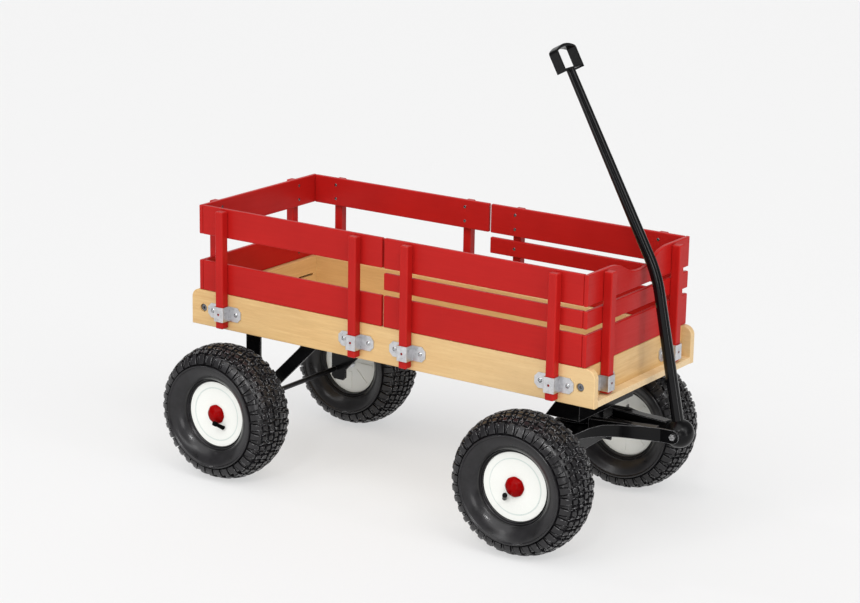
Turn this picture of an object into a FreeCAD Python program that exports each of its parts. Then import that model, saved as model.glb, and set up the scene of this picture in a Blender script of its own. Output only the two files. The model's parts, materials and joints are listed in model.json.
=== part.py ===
import FreeCAD, Part
import Sketcher
import math
import os
from types import SimpleNamespace

# Kids pull wagon: a wooden bed with lift-out slatted panels, four air-tyre wheels,
# a front truck that steers about a kingpin and a pull handle that tilts on the truck.
# Millimetres, +X forward (the handle's end), +Y left, +Z up, z = 0 is the ground.

DIMENSIONS = {
    # the bed, placed about its own middle, which lies behind the middle of the whole wagon
    "bed_centre_x": -35.81,
    "bed_length": 914.4,
    "bed_width": 366.0,
    "bed_bottom": 285.0,
    "board_height": 71.0,
    "board_thick": 14.0,
    "board_corner_radius": 18.0,
    "board_edge_radius": 1.5,
    "floor_thick": 12.0,
    "floor_edge": 1.0,
    "end_board_face": 437.0,
    "end_board_thick": 18.0,
    "end_board_inset": 1.5,
    "tie_slot_length": 48.0,
    "tie_slot_height": 5.0,
    "tie_slot_inset": 12.0,
    "tie_slot_depth": 7.0,
    "corner_bolt_height": 35.0,
    "corner_bolt_head_radius": 6.6,
    "corner_bolt_head_thick": 4.0,
    "corner_bolt_radius": 3.0,
    "corner_bolt_length": 60.0,
    "counterbore_radius": 8.0,
    "counterbore_depth": 6.5,
    # lift-out panels
    "panel_gap": 0.4,
    "slat_thick": 8.5,
    "slat_edge_radius": 2.0,
    "panel_top": 525.0,
    "wide_slat": 59.5,
    "top_slat": 57.0,
    "middle_slat": 32.0,
    "middle_slat_bottom": 427.0,
    "side_panel_split": 2.25,
    "scoop_half_width": 104.0,
    "scoop_depth": 26.0,
    "post_size": 17.6,
    "post_chamfer": 1.5,
    "post_top": 522.0,
    "side_post_bottom": 290.0,
    "end_post_bottom": 300.0,
    "side_post_inner_x": 58.5,
    "side_post_outer_x": 375.0,
    "end_post_y": 122.5,
    # stake brackets and their screws
    "bracket_width": 81.0,
    "bracket_height": 29.0,
    "bracket_bottom": 304.5,
    "bracket_sheet": 2.0,
    "bracket_clear": 0.5,
    "bracket_corner": 8.0,
    "bracket_bend": 1.6,
    "bracket_hole_radius": 2.5,
    "bracket_screw_offset": 28.5,
    "screw_radius": 2.0,
    "screw_length": 5.5,
    "screw_head_radius": 4.3,
    "screw_head_thick": 2.2,
    # wheels, drawn with the outboard side towards +Y
    "wheel_radius": 133.5,
    "tyre_half_width": 52.8,
    "tyre_wide_radius": 100.0,
    "shoulder_radius": 122.0,
    "shoulder_half_width": 43.0,
    "shoulder_arc": 34.0,
    "sidewall_arc": 44.0,
    "tyre_wall": 6.0,
    "bead_radius": 66.0,
    "bead_half_width": 29.0,
    "bead_toe": 23.0,
    "rim_edge": 2.0,
    "rim_sheet": 3.0,
    "rim_face": 27.9,
    "rim_back": 22.2,
    "rim_groove_radius": 52.0,
    "rim_groove_depth": 0.8,
    "hub_radius": 14.0,
    "bore_clearance": 0.05,
    "rib_start": 20.0,
    "rib_end": 56.0,
    "rib_half_width": 3.0,
    "rib_height": 1.2,
    "cap_radius": 19.0,
    "cap_skirt": 4.0,
    "cap_height": 13.5,
    "cap_crown_radius": 7.0,
    "cap_arc": 21.0,
    "cap_wall": 2.2,
    "cap_crown_drop": 0.5,
    "valve_offset": 31.0,
    "valve_lean": 43.4,
    "valve_radius": 4.2,
    "valve_length": 24.8,
    "valve_cap_radius": 4.6,
    "valve_cap_length": 8.0,
    "valve_tip_radius": 3.4,
    "valve_cap_edge": 1.0,
    # rear undercarriage
    "axle_height": 133.5,
    "axle_radius": 5.0,
    "axle_end": 251.0,
    "rear_axle_x": -347.0,
    "wheel_offset": 216.5,
    "bracket_leg_rear": 8.0,
    "bracket_leg_front": 27.0,
    "bracket_leg_bottom": 112.0,
    "leg_corner": 6.0,
    "brace_start": 36.5,
    "brace_drop": 35.0,
    "rear_bracket_y": 138.0,
    "rear_bracket_thick": 4.0,
    "rear_foot_width": 30.0,
    "foot_thick": 3.0,
    "washer_radius": 11.0,
    "washer_thick": 1.6,
    "washer_gap": 0.4,
    # steering housing under the bed
    "kingpin_x": 322.5,
    "kingpin_radius": 6.0,
    "housing_bottom": 199.6,
    "turret_radius": 44.0,
    "bolster_half_width": 98.0,
    "bolster_bottom": 225.0,
    "bolster_rear": 16.0,
    "bolster_front": 56.0,
    "bolster_lean": 41.0,
    "lean_wall_run": 4.8,
    "housing_wall": 3.0,
    "housing_flange_length": 150.0,
    "housing_flange_width": 220.0,
    # front truck, turned left by the rest angle
    "steer_rest": 3.47,
    "beam_front": 42.6,
    "beam_rear": 36.0,
    "beam_half_width": 112.0,
    "beam_top": 197.0,
    "beam_bottom": 160.0,
    "beam_wall": 3.5,
    "beam_edge_radius": 8.0,
    "beam_boss_radius": 22.0,
    "beam_boss_top": 199.3,
    "hanger_half": 18.0,
    "hanger_bottom": 124.0,
    "hanger_shoulder": 4.0,
    "hanger_corner": 6.0,
    "kingpin_head_radius": 11.0,
    "kingpin_head_thick": 7.0,
    "kingpin_bottom": 185.5,
    # tongue arms
    "arm_bottom": 190.5,
    "arm_top": 216.0,
    "arm_sheet": 3.0,
    "arm_beam_gap": 0.4,
    "arm_nose": 214.0,
    "arm_nose_radius": 12.0,
    "arm_nose_y": 28.6,
    "arm_nose_end": 178.0,
    "arm_bend_x": 160.0,
    "arm_bend_y": 32.5,
    "arm_flare_x": 131.0,
    "arm_flare_y": 129.1,
    "arm_flare_radius": 86.7,
    "arm_flare_start": 14.0,
    "arm_flare_end": 78.6,
    "arm_slope_start": 150.0,
    "arm_slope_middle": 76.0,
    "arm_slope_drop": 3.5,
    "arm_slope_steep": 60.0,
    "arm_slope_steep_drop": 8.0,
    "arm_slope_end_drop": 17.0,
    "arm_web_rear_y": 49.8,
    "arm_flange_end": 168.0,
    "arm_flange_width": 14.0,
    "arm_flange_sheet": 2.5,
    # handle
    "pivot_reach": 203.0,
    "pivot_height": 204.0,
    "socket_clearance": 0.1,
    "ball_radius": 27.0,
    "ball_half_width": 24.6,
    "ball_seam": 0.3,
    "pivot_bolt_radius": 4.0,
    "pivot_bolt_half": 28.6,
    "pivot_head_radius": 6.2,
    "pivot_head_thick": 4.5,
    "tube_start": 13.0,
    "tube_lean_low": 11.5,
    "tube_lean_high": 28.0,
    "tube_corner": 292.0,
    "tube_bend_radius": 240.0,
    "tube_upper_length": 401.2,
    "tube_radius_low": 11.4,
    "tube_radius_bend": 10.2,
    "tube_radius_high": 8.0,
    "tube_wall": 1.6,
    # grip
    "grip_half_width": 36.0,
    "grip_side_height": 38.8,
    "grip_arc": 80.0,
    "grip_corner_radius": 7.0,
    "grip_depth": 19.5,
    "grip_skirt": 2.4,
    "grip_side_wall": 4.5,
    "grip_bottom_bar": 2.8,
    "grip_window_side": 31.5,
    "grip_window_height": 36.6,
    "grip_window_arc": 100.0,
    "grip_edge_radius": 1.5,
}

Vector = FreeCAD.Vector
Rotation = FreeCAD.Rotation
Placement = FreeCAD.Placement
NEAR = 0.01
X_AXIS = Vector(1, 0, 0)
Y_AXIS = Vector(0, 1, 0)
Z_AXIS = Vector(0, 0, 1)
UPRIGHT = Rotation()

doc = FreeCAD.newDocument("pull_wagon")


# --- sizes that carry both a number and the sheet formula it comes from ---

class Size:
    """A number together with the formula that gives it in the spreadsheet."""

    def __init__(self, value, text):
        self.value = value
        self.text = text

    def __add__(self, other):
        other = size(other)
        return Size(self.value + other.value, "(%s + %s)" % (self.text, other.text))

    def __radd__(self, other):
        return size(other) + self

    def __sub__(self, other):
        other = size(other)
        return Size(self.value - other.value, "(%s - %s)" % (self.text, other.text))

    def __rsub__(self, other):
        return size(other) - self

    def __mul__(self, other):
        other = size(other)
        return Size(self.value * other.value, "(%s * %s)" % (self.text, other.text))

    def __rmul__(self, other):
        return size(other) * self

    def __truediv__(self, other):
        other = size(other)
        return Size(self.value / other.value, "(%s / %s)" % (self.text, other.text))

    def __neg__(self):
        return Size(-self.value, "(0 - %s)" % self.text)


def size(number):
    """Return number as a Size."""
    if isinstance(number, Size):
        return number
    return Size(number, repr(number))


def cosine(angle):
    return Size(math.cos(math.radians(angle.value)), "cos(%s)" % angle.text)


def sine(angle):
    return Size(math.sin(math.radians(angle.value)), "sin(%s)" % angle.text)


def tangent(angle):
    return Size(math.tan(math.radians(angle.value)), "tan(%s)" % angle.text)


def make_sheet():
    """Write the driving dimensions into a spreadsheet and return them as sizes."""
    sheet = doc.addObject("Spreadsheet::Sheet", "Dim")
    sizes = SimpleNamespace()
    for row, (name, number) in enumerate(DIMENSIONS.items(), start=1):
        sheet.set("A%d" % row, name)
        sheet.set("B%d" % row, str(number))
        sheet.setAlias("B%d" % row, name)
        setattr(sizes, name, Size(number, "Dim." + name))
    doc.recompute()
    return sizes


d = make_sheet()


# --- helpers for features ---

def bind(feature, **sizes):
    """Bind properties of a feature to formulas."""
    for name, length in sizes.items():
        feature.setExpression(name, size(length).text)


def place(item, x=0, y=0, z=0, rotation=UPRIGHT):
    """Set an object's place, bound to formulas, and its turn."""
    item.Placement = Placement(Vector(size(x).value, size(y).value, size(z).value), rotation)
    for axis, length in zip("xyz", (x, y, z)):
        item.setExpression("Placement.Base." + axis, size(length).text)


def new_body(label):
    body = doc.addObject("PartDesign::Body", label)
    body.Label = label
    return body


def new_sketch(body, plane, offset=0):
    """Start a sketch on one of the body's origin planes, moved along the plane's normal."""
    sketch = body.newObject("Sketcher::SketchObject", "Sketch")
    support = [item for item in body.Origin.OriginFeatures if item.Role == plane][0]
    sketch.AttachmentSupport = [(support, "")]
    sketch.MapMode = "FlatFace"
    sketch.AttachmentOffset = Placement(Vector(0, 0, size(offset).value), UPRIGHT)
    sketch.setExpression("AttachmentOffset.Base.z", size(offset).text)
    return sketch


def fix_point(sketch, edge, end, x, y):
    """Hold the end of an edge at (x, y)."""
    for kind, axis, length in (("DistanceX", -2, x), ("DistanceY", -1, y)):
        if length.value == 0:
            sketch.addConstraint(Sketcher.Constraint("PointOnObject", edge, end, axis))
        else:
            index = sketch.addConstraint(Sketcher.Constraint(kind, -1, 1, edge, end, length.value))
            sketch.setExpression("Constraints[%d]" % index, length.text)


def arc_between(start, end, radius):
    """An arc between two points; a positive radius bulges to the right of the way along."""
    chord = end - start
    rise = math.sqrt(radius * radius - chord.Length * chord.Length / 4)
    left = Vector(-chord.y, chord.x, 0).normalize()
    middle = (start + end) * 0.5
    centre = middle + left * (rise if radius > 0 else -rise)
    first, last = (start, end) if radius > 0 else (end, start)
    angles = [math.atan2(point.y - centre.y, point.x - centre.x) for point in (first, last)]
    return Part.ArcOfCircle(Part.Circle(centre, Z_AXIS, abs(radius)), angles[0], angles[1])


def draw_outline(sketch, points, arcs=None):
    """Draw a closed outline; arcs gives the radius of each round stretch by its first point."""
    arcs = arcs or {}
    points = [(size(x), size(y)) for x, y in points]
    corners = [Vector(x.value, y.value, 0) for x, y in points]
    count = len(points)
    edges = []
    for index in range(count):
        start = corners[index]
        end = corners[(index + 1) % count]
        if index in arcs:
            radius = size(arcs[index])
            edge = sketch.addGeometry(arc_between(start, end, radius.value), False)
            ends = (1, 2) if radius.value > 0 else (2, 1)
        else:
            edge = sketch.addGeometry(Part.LineSegment(start, end), False)
            ends = (1, 2)
        edges.append((edge, ends))
    for index, (edge, ends) in enumerate(edges):
        following, following_ends = edges[(index + 1) % count]
        joint = Sketcher.Constraint("Coincident", edge, ends[1], following, following_ends[0])
        sketch.addConstraint(joint)
        fix_point(sketch, edge, ends[0], *points[index])
    for index, radius in arcs.items():
        length = size(radius)
        if length.value < 0:
            length = -length
        constraint = Sketcher.Constraint("Radius", edges[index][0], length.value)
        number = sketch.addConstraint(constraint)
        sketch.setExpression("Constraints[%d]" % number, length.text)
    return sketch


def draw_rectangle(sketch, low_x, low_y, high_x, high_y):
    corners = [(low_x, low_y), (high_x, low_y), (high_x, high_y), (low_x, high_y)]
    return draw_outline(sketch, corners)


def draw_circles(sketch, centres, radius):
    for x, y in centres:
        x = size(x)
        y = size(y)
        circle = Part.Circle(Vector(x.value, y.value, 0), Z_AXIS, size(radius).value)
        edge = sketch.addGeometry(circle, False)
        fix_point(sketch, edge, 3, x, y)
        number = sketch.addConstraint(Sketcher.Constraint("Radius", edge, size(radius).value))
        sketch.setExpression("Constraints[%d]" % number, size(radius).text)
    return sketch


def add_pad(body, sketch, length, reverse=False):
    pad = body.newObject("PartDesign::Pad", "Pad")
    pad.Profile = sketch
    bind(pad, Length=length)
    pad.Reversed = reverse
    return pad


def add_pocket(body, sketch, length, reverse=False):
    """Cut a sketch into the body and check that it takes material away."""
    doc.recompute()
    before = body.Shape.Volume
    pocket = body.newObject("PartDesign::Pocket", "Pocket")
    pocket.Profile = sketch
    bind(pocket, Length=length)
    pocket.Reversed = reverse
    doc.recompute()
    if body.Shape.Volume >= before - 1e-6:
        raise RuntimeError("a pocket in %s cuts nothing" % body.Label)
    return pocket


def add_revolution(body, sketch, axis="V_Axis"):
    turned = body.newObject("PartDesign::Revolution", "Revolution")
    turned.Profile = sketch
    turned.ReferenceAxis = (sketch, [axis])
    turned.Angle = 360
    return turned


def edge_names(feature, wanted):
    """Names of the feature's edges that pass a test."""
    doc.recompute()
    return ["Edge%d" % number for number, edge in enumerate(feature.Shape.Edges, start=1) if wanted(edge)]


def along(axis):
    """A test for straight edges that run along an axis."""
    def wanted(edge):
        if not isinstance(edge.Curve, Part.Line):
            return False
        return abs(abs(edge.Curve.Direction.dot(axis)) - 1) < 1e-6
    return wanted


def add_fillet(body, feature, radius, wanted):
    fillet = body.newObject("PartDesign::Fillet", "Fillet")
    fillet.Base = (feature, edge_names(feature, wanted))
    bind(fillet, Radius=radius)
    return fillet


def add_chamfer(body, feature, length, wanted):
    chamfer = body.newObject("PartDesign::Chamfer", "Chamfer")
    chamfer.Base = (feature, edge_names(feature, wanted))
    bind(chamfer, Size=length)
    return chamfer


def new_box(length, width, height, x=0, y=0, z=0, rotation=UPRIGHT):
    box = doc.addObject("Part::Box", "Box")
    bind(box, Length=length, Width=width, Height=height)
    place(box, x, y, z, rotation)
    return box


def new_cylinder(radius, height, x=0, y=0, z=0, rotation=UPRIGHT):
    cylinder = doc.addObject("Part::Cylinder", "Cylinder")
    bind(cylinder, Radius=radius, Height=height)
    place(cylinder, x, y, z, rotation)
    return cylinder


def join(label, shapes):
    fused = doc.addObject("Part::MultiFuse", label)
    fused.Label = label
    fused.Shapes = shapes
    return fused


def cut(label, base, tool):
    result = doc.addObject("Part::Cut", label)
    result.Label = label
    result.Base = base
    result.Tool = tool
    return result


def group(label, items):
    """One node of several separate solids."""
    compound = doc.addObject("Part::Compound", label)
    compound.Label = label
    compound.Links = items
    return compound


def copy_at(item, x, y, z, rotation=UPRIGHT):
    link = doc.addObject("App::Link", "Copy")
    link.LinkedObject = item
    link.Placement = Placement(Vector(size(x).value, size(y).value, size(z).value), rotation)
    for axis, length in zip("xyz", (x, y, z)):
        link.setExpression("Placement.Base." + axis, size(length).text)
    return link


nodes = []


def keep(*items):
    """Mark finished sub-parts, which are written out under their labels."""
    nodes.extend(items)


# --- frames: the bed's middle, the kingpin and the handle's pivot ---

ALONG_Y = Rotation(X_AXIS, -90)
TRUCK_TURN = Rotation(Z_AXIS, d.steer_rest.value)
kingpin_at_x = d.bed_centre_x + d.kingpin_x
pivot_at_x = kingpin_at_x + d.pivot_reach * cosine(d.steer_rest)
pivot_at_y = d.pivot_reach * sine(d.steer_rest)

bed_half_length = d.bed_length / 2
bed_half_width = d.bed_width / 2
bed_floor_top = d.bed_bottom + d.floor_thick
bed_top = d.bed_bottom + d.board_height
floor_half_width = bed_half_width - d.board_thick
end_board_middle = d.end_board_face - d.end_board_thick / 2
bolt_z = d.bed_bottom + d.corner_bolt_height


def on_bed(item, z=0):
    place(item, d.bed_centre_x, 0, z)


def on_truck(item, z=0):
    place(item, kingpin_at_x, 0, z, TRUCK_TURN)


# --- bed ---

def make_side_board(label, side):
    """A long board with rounded upper corners and a counterbored bolt hole near each end."""
    body = new_body(label)
    outline = new_sketch(body, "XZ_Plane", 0)
    top = d.board_height
    radius = d.board_corner_radius
    draw_outline(outline, [(-bed_half_length, 0), (bed_half_length, 0),
                           (bed_half_length, top - radius), (bed_half_length - radius, top),
                           (radius - bed_half_length, top), (-bed_half_length, top - radius)],
                 {2: radius, 4: radius})
    board = add_pad(body, outline, d.board_thick, reverse=True)
    add_fillet(body, board, d.board_edge_radius, lambda edge: not along(Y_AXIS)(edge))
    centres = [(-end_board_middle, d.corner_bolt_height), (end_board_middle, d.corner_bolt_height)]
    wide = draw_circles(new_sketch(body, "XZ_Plane", 0), centres, d.counterbore_radius)
    add_pocket(body, wide, d.counterbore_depth)
    narrow = draw_circles(new_sketch(body, "XZ_Plane", 0), centres, d.corner_bolt_radius)
    add_pocket(body, narrow, d.board_thick)
    if side > 0:
        place(body, d.bed_centre_x, bed_half_width, d.bed_bottom, Rotation(Z_AXIS, 180))
    else:
        place(body, d.bed_centre_x, -bed_half_width, d.bed_bottom)
    keep(body)


def make_end_board(label, end):
    """A cross board on the floor, drilled at both ends, with a nut slot beside each bolt."""
    body = new_body(label)
    low = end_board_middle * end - d.end_board_thick / 2
    bottom = bed_floor_top - d.end_board_inset
    outline = draw_rectangle(new_sketch(body, "XY_Plane", bottom), low, -floor_half_width,
                             low + d.end_board_thick, floor_half_width)
    board = add_pad(body, outline, bed_top - bottom)
    add_fillet(body, board, d.board_edge_radius, along(Y_AXIS))
    depth = d.corner_bolt_length + d.counterbore_depth - d.board_thick
    for plane_y, reverse in ((-floor_half_width, False), (floor_half_width, True)):
        hole = new_sketch(body, "XZ_Plane", -plane_y)
        draw_circles(hole, [(end_board_middle * end, bolt_z)], d.corner_bolt_radius)
        add_pocket(body, hole, depth, reverse)
    inner = end_board_middle * end - d.end_board_thick / 2 * end
    slots = new_sketch(body, "YZ_Plane", inner)
    for side in (-1, 1):
        outer = (floor_half_width - d.tie_slot_inset) * side
        reach = (floor_half_width - d.tie_slot_inset - d.tie_slot_length) * side
        draw_rectangle(slots, outer, bolt_z - d.tie_slot_height / 2, reach, bolt_z + d.tie_slot_height / 2)
    add_pocket(body, slots, d.tie_slot_depth, reverse=end > 0)
    on_bed(body)
    keep(body)


def make_floor():
    """The floor panel between the side boards, which runs past the end boards as a ledge.

    The end boards stand in two shallow grooves across it.
    """
    body = new_body("bed_floor")
    outline = draw_rectangle(new_sketch(body, "XY_Plane"), -bed_half_length, -floor_half_width,
                             bed_half_length, floor_half_width)
    panel = add_pad(body, outline, d.floor_thick)
    add_chamfer(body, panel, d.floor_edge, along(Y_AXIS))
    grooves = new_sketch(body, "XY_Plane", d.floor_thick)
    for end in (-1, 1):
        low = end_board_middle * end - d.end_board_thick / 2
        draw_rectangle(grooves, low, -floor_half_width, low + d.end_board_thick, floor_half_width)
    add_pocket(body, grooves, d.end_board_inset)
    on_bed(body, d.bed_bottom)
    keep(body)


def make_corner_bolts():
    """Four cap bolts that run through the side boards into the ends of the end boards."""
    head = new_cylinder(d.corner_bolt_head_radius, d.corner_bolt_head_thick)
    socket = doc.addObject("Part::Prism", "Socket")
    socket.Polygon = 6
    bind(socket, Circumradius=d.corner_bolt_radius, Height=d.corner_bolt_head_thick / 2)
    shank = new_cylinder(d.corner_bolt_radius, d.corner_bolt_length, z=d.corner_bolt_head_thick)
    bolt = join("CornerBolt", [cut("BoltHead", head, socket), shank])
    depth = bed_half_width - d.counterbore_depth + d.corner_bolt_head_thick
    copies = []
    for side in (-1, 1):
        for end in (-1, 1):
            copies.append(copy_at(bolt, end_board_middle * end, depth * side, bolt_z,
                                  Rotation(X_AXIS, 90 * side)))
    bolts = group("corner_bolts", copies)
    on_bed(bolts)
    keep(bolts)


# --- stake brackets: each is a strip of sheet bent round a post, screwed on at both ears ---

def bracket_places():
    """Place and turn of the foot of each stake bracket; local +Y points out of the bed."""
    places = []
    for along_x in (-d.side_post_outer_x, -d.side_post_inner_x, d.side_post_inner_x, d.side_post_outer_x):
        places.append((along_x, bed_half_width, Rotation()))
        places.append((along_x, -bed_half_width, Rotation(Z_AXIS, 180)))
    for side in (-1, 1):
        places.append((d.end_board_face, d.end_post_y * side, Rotation(Z_AXIS, -90)))
        places.append((-d.end_board_face, d.end_post_y * side, Rotation(Z_AXIS, 90)))
    return places


def make_stake_brackets():
    body = new_body("StakeBracket")
    half = d.bracket_width / 2
    sheet = d.bracket_sheet
    inside = d.post_size / 2 + d.bracket_clear
    depth = d.panel_gap + d.post_size + d.bracket_clear
    outline = new_sketch(body, "XY_Plane")
    draw_outline(outline, [(-half, 0), (-inside, 0), (-inside, depth), (inside, depth), (inside, 0),
                           (half, 0), (half, sheet), (inside + sheet, sheet),
                           (inside + sheet, depth + sheet), (-inside - sheet, depth + sheet),
                           (-inside - sheet, sheet), (-half, sheet)])
    strip = add_pad(body, outline, d.bracket_height)
    hat_reach = depth.value / 2

    def ear_corner(edge):
        return along(Y_AXIS)(edge) and abs(edge.CenterOfMass.x) > half.value - NEAR

    corners = add_chamfer(body, strip, d.bracket_corner, ear_corner)

    def hat_bend(edge):
        outside = edge.CenterOfMass.y > hat_reach and abs(edge.CenterOfMass.x) > inside.value + NEAR
        return along(Z_AXIS)(edge) and outside

    add_fillet(body, corners, d.bracket_bend, hat_bend)
    holes = new_sketch(body, "XZ_Plane")
    middle = d.bracket_height / 2
    draw_circles(holes, [(0, middle)], d.bracket_hole_radius)
    add_pocket(body, holes, depth + sheet * 2)
    screw_holes = new_sketch(body, "XZ_Plane")
    offsets = [(-d.bracket_screw_offset, middle), (d.bracket_screw_offset, middle)]
    draw_circles(screw_holes, offsets, d.screw_radius)
    add_pocket(body, screw_holes, sheet * 2)
    copies = [copy_at(body, x, y, d.bracket_bottom, turn) for x, y, turn in bracket_places()]
    brackets = group("stake_brackets", copies)
    on_bed(brackets)
    keep(brackets)


def make_bracket_screws():
    """Two pan head screws in each stake bracket."""
    head = doc.addObject("Part::Cone", "ScrewHead")
    bind(head, Radius1=d.screw_head_radius, Radius2=d.screw_head_radius * 0.62, Height=d.screw_head_thick)
    place(head, 0, d.bracket_sheet, 0, ALONG_Y)
    shank = new_cylinder(d.screw_radius, d.screw_length + d.bracket_sheet, 0, -d.screw_length, 0, ALONG_Y)
    screw = join("BracketScrew", [head, shank])
    copies = []
    for x, y, turn in bracket_places():
        for side in (-1, 1):
            reach = turn.multVec(Vector(d.bracket_screw_offset.value * side, 0, 0))
            height = d.bracket_bottom + d.bracket_height / 2
            copies.append(copy_at(screw, x + reach.x, y + reach.y, height, turn))
    screws = group("bracket_screws", copies)
    on_bed(screws)
    keep(screws)


# --- lift-out panels: slats screwed to posts that drop into the stake brackets ---

def make_slat(label, low_x, high_x, low_y, high_y, bottom, height):
    body = new_body(label)
    outline = draw_rectangle(new_sketch(body, "XY_Plane", bottom), low_x, low_y, high_x, high_y)
    slat = add_pad(body, outline, height)
    add_fillet(body, slat, d.slat_edge_radius, lambda edge: True)
    on_bed(body)
    keep(body)


def make_scooped_slat(label, inner_x, bottom):
    """The front end panel's top slat, with a shallow scoop that the handle rests over."""
    body = new_body(label)
    half = bed_half_width + d.panel_gap
    top = d.panel_top
    quarter = d.scoop_half_width / 2
    drop = d.scoop_depth / 2
    radius = (quarter * quarter + drop * drop) / (2 * drop)
    outline = new_sketch(body, "YZ_Plane", inner_x)
    draw_outline(outline, [(-half, bottom), (half, bottom), (half, top), (d.scoop_half_width, top),
                           (quarter, top - drop), (-quarter, top - drop), (-d.scoop_half_width, top),
                           (-half, top)],
                 {3: radius, 4: -radius, 5: radius})
    slat = add_pad(body, outline, d.slat_thick)
    add_fillet(body, slat, d.slat_edge_radius, lambda edge: not along(X_AXIS)(edge))
    on_bed(body)
    keep(body)


def make_posts(label, centres, bottom):
    """The two posts of one panel."""
    body = new_body(label + "_stake")
    half = d.post_size / 2
    outline = draw_rectangle(new_sketch(body, "XY_Plane"), -half, -half, half, half)
    post = add_pad(body, outline, d.post_top - bottom)
    add_chamfer(body, post, d.post_chamfer, lambda edge: True)
    posts = group(label, [copy_at(body, x, y, bottom) for x, y in centres])
    on_bed(posts)
    keep(posts)


def slat_rows(middle):
    """Bottom and height of each slat of a panel, by name."""
    rows = [("bottom", bed_top + d.panel_gap, d.wide_slat)]
    if middle:
        rows.append(("middle", d.middle_slat_bottom, d.middle_slat))
    rows.append(("top", d.panel_top - d.top_slat, d.top_slat))
    return rows


def make_side_panel(label, end, side):
    """One of the four side panels; end is 1 at the front, side is 1 on the left."""
    outer = d.end_board_face - d.slat_thick
    near = d.side_panel_split * end
    far = outer * end
    low_x, high_x = (near, far) if end > 0 else (far, near)
    skin = bed_half_width + d.panel_gap
    low_y, high_y = (skin - d.slat_thick, skin) if side > 0 else (-skin, d.slat_thick - skin)
    for row, bottom, height in slat_rows(end > 0):
        make_slat("%s_slat_%s" % (label, row), low_x, high_x, low_y, high_y, bottom, height)
    post_y = (skin + d.post_size / 2) * side
    centres = [(d.side_post_inner_x * end, post_y), (d.side_post_outer_x * end, post_y)]
    make_posts(label + "_posts", centres, d.side_post_bottom)


def make_end_panel(label, end):
    """The front or rear end panel, whose slats lie over the ends of the side slats."""
    skin = d.end_board_face + d.panel_gap
    inner = skin - d.slat_thick
    low_x, high_x = (inner, skin) if end > 0 else (-skin, -inner)
    half = bed_half_width + d.panel_gap
    for row, bottom, height in slat_rows(end > 0):
        name = "%s_slat_%s" % (label, row)
        if end > 0 and row == "top":
            make_scooped_slat(name, inner, bottom)
        else:
            make_slat(name, low_x, high_x, -half, half, bottom, height)
    post_x = (skin + d.post_size / 2) * end
    centres = [(post_x, d.end_post_y), (post_x, -d.end_post_y)]
    make_posts(label + "_posts", centres, d.end_post_bottom)


# --- wheels ---

FRONT_VALVE_TURN = 52
REAR_VALVE_TURN = 130


def make_tyre(label):
    """The air tyre: a round casing that is open towards the rim."""
    body = new_body(label)
    wall = d.tyre_wall
    half = d.tyre_half_width
    shoulder = d.shoulder_half_width
    crown_rise = d.wheel_radius - d.shoulder_radius
    crown = (shoulder * shoulder + crown_rise * crown_rise) / (2 * crown_rise)
    section = new_sketch(body, "XY_Plane")
    draw_outline(section, [(d.bead_radius, -d.bead_half_width), (d.tyre_wide_radius, -half),
                           (d.shoulder_radius, -shoulder), (d.shoulder_radius, shoulder),
                           (d.tyre_wide_radius, half), (d.bead_radius, d.bead_half_width),
                           (d.bead_radius, d.bead_toe), (d.tyre_wide_radius, half - wall),
                           (d.shoulder_radius - wall, shoulder - wall),
                           (d.shoulder_radius - wall, wall - shoulder),
                           (d.tyre_wide_radius, wall - half), (d.bead_radius, -d.bead_toe)],
                 {0: d.sidewall_arc, 1: d.shoulder_arc, 2: crown, 3: d.shoulder_arc, 4: d.sidewall_arc})
    add_revolution(body, section)
    return body


RIM_RIBS = 8


def make_rim(label):
    """The rim: hub tube, outer face with a shallow ring groove, barrel, and ribbed back plate."""
    body = new_body(label)
    bore = d.axle_radius + d.bore_clearance
    sheet = d.rim_sheet
    edge = d.rim_edge
    barrel = d.bead_radius - sheet
    groove = d.rim_face - d.rim_groove_depth
    section = new_sketch(body, "XY_Plane")
    draw_outline(section, [(bore, -d.rim_back), (d.bead_radius - edge, -d.rim_back),
                           (d.bead_radius, edge - d.rim_back), (d.bead_radius, d.rim_face - edge),
                           (d.bead_radius - edge, d.rim_face),
                           (d.rim_groove_radius + 1, d.rim_face), (d.rim_groove_radius, groove),
                           (d.rim_groove_radius - 1, d.rim_face), (bore, d.rim_face)])
    add_revolution(body, section)
    cavity = new_sketch(body, "XY_Plane")
    draw_rectangle(cavity, d.hub_radius, sheet - d.rim_back, barrel, d.rim_face - sheet)
    doc.recompute()
    solid_volume = body.Shape.Volume
    hollow = body.newObject("PartDesign::Groove", "Groove")
    hollow.Profile = cavity
    hollow.ReferenceAxis = (cavity, ["V_Axis"])
    hollow.Angle = 360
    doc.recompute()
    if body.Shape.Volume >= solid_volume:
        raise RuntimeError("the rim is not hollow")
    outline = draw_rectangle(new_sketch(body, "XZ_Plane", d.rim_back), d.rib_start, -d.rib_half_width,
                             d.rib_end, d.rib_half_width)
    rib = add_pad(body, outline, d.rib_height)
    pattern = body.newObject("PartDesign::PolarPattern", "PolarPattern")
    pattern.Originals = [rib]
    pattern.Axis = (section, ["V_Axis"])
    pattern.Angle = 360
    pattern.Occurrences = RIM_RIBS
    body.Tip = pattern
    return body


def make_hub_cap(label):
    """The domed cap over the axle's end."""
    body = new_body(label)
    face = d.rim_face
    wall = d.cap_wall
    section = new_sketch(body, "XY_Plane")
    draw_outline(section, [(d.cap_radius - wall, face), (d.cap_radius, face),
                           (d.cap_radius, face + d.cap_skirt),
                           (d.cap_crown_radius, face + d.cap_height - d.cap_crown_drop),
                           (0, face + d.cap_height),
                           (0, face + d.cap_height - wall),
                           (d.cap_crown_radius, face + d.cap_height - wall - d.cap_crown_drop),
                           (d.cap_radius - wall, face + d.cap_skirt)],
                 {2: d.cap_arc})
    add_revolution(body, section)
    return body


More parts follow.
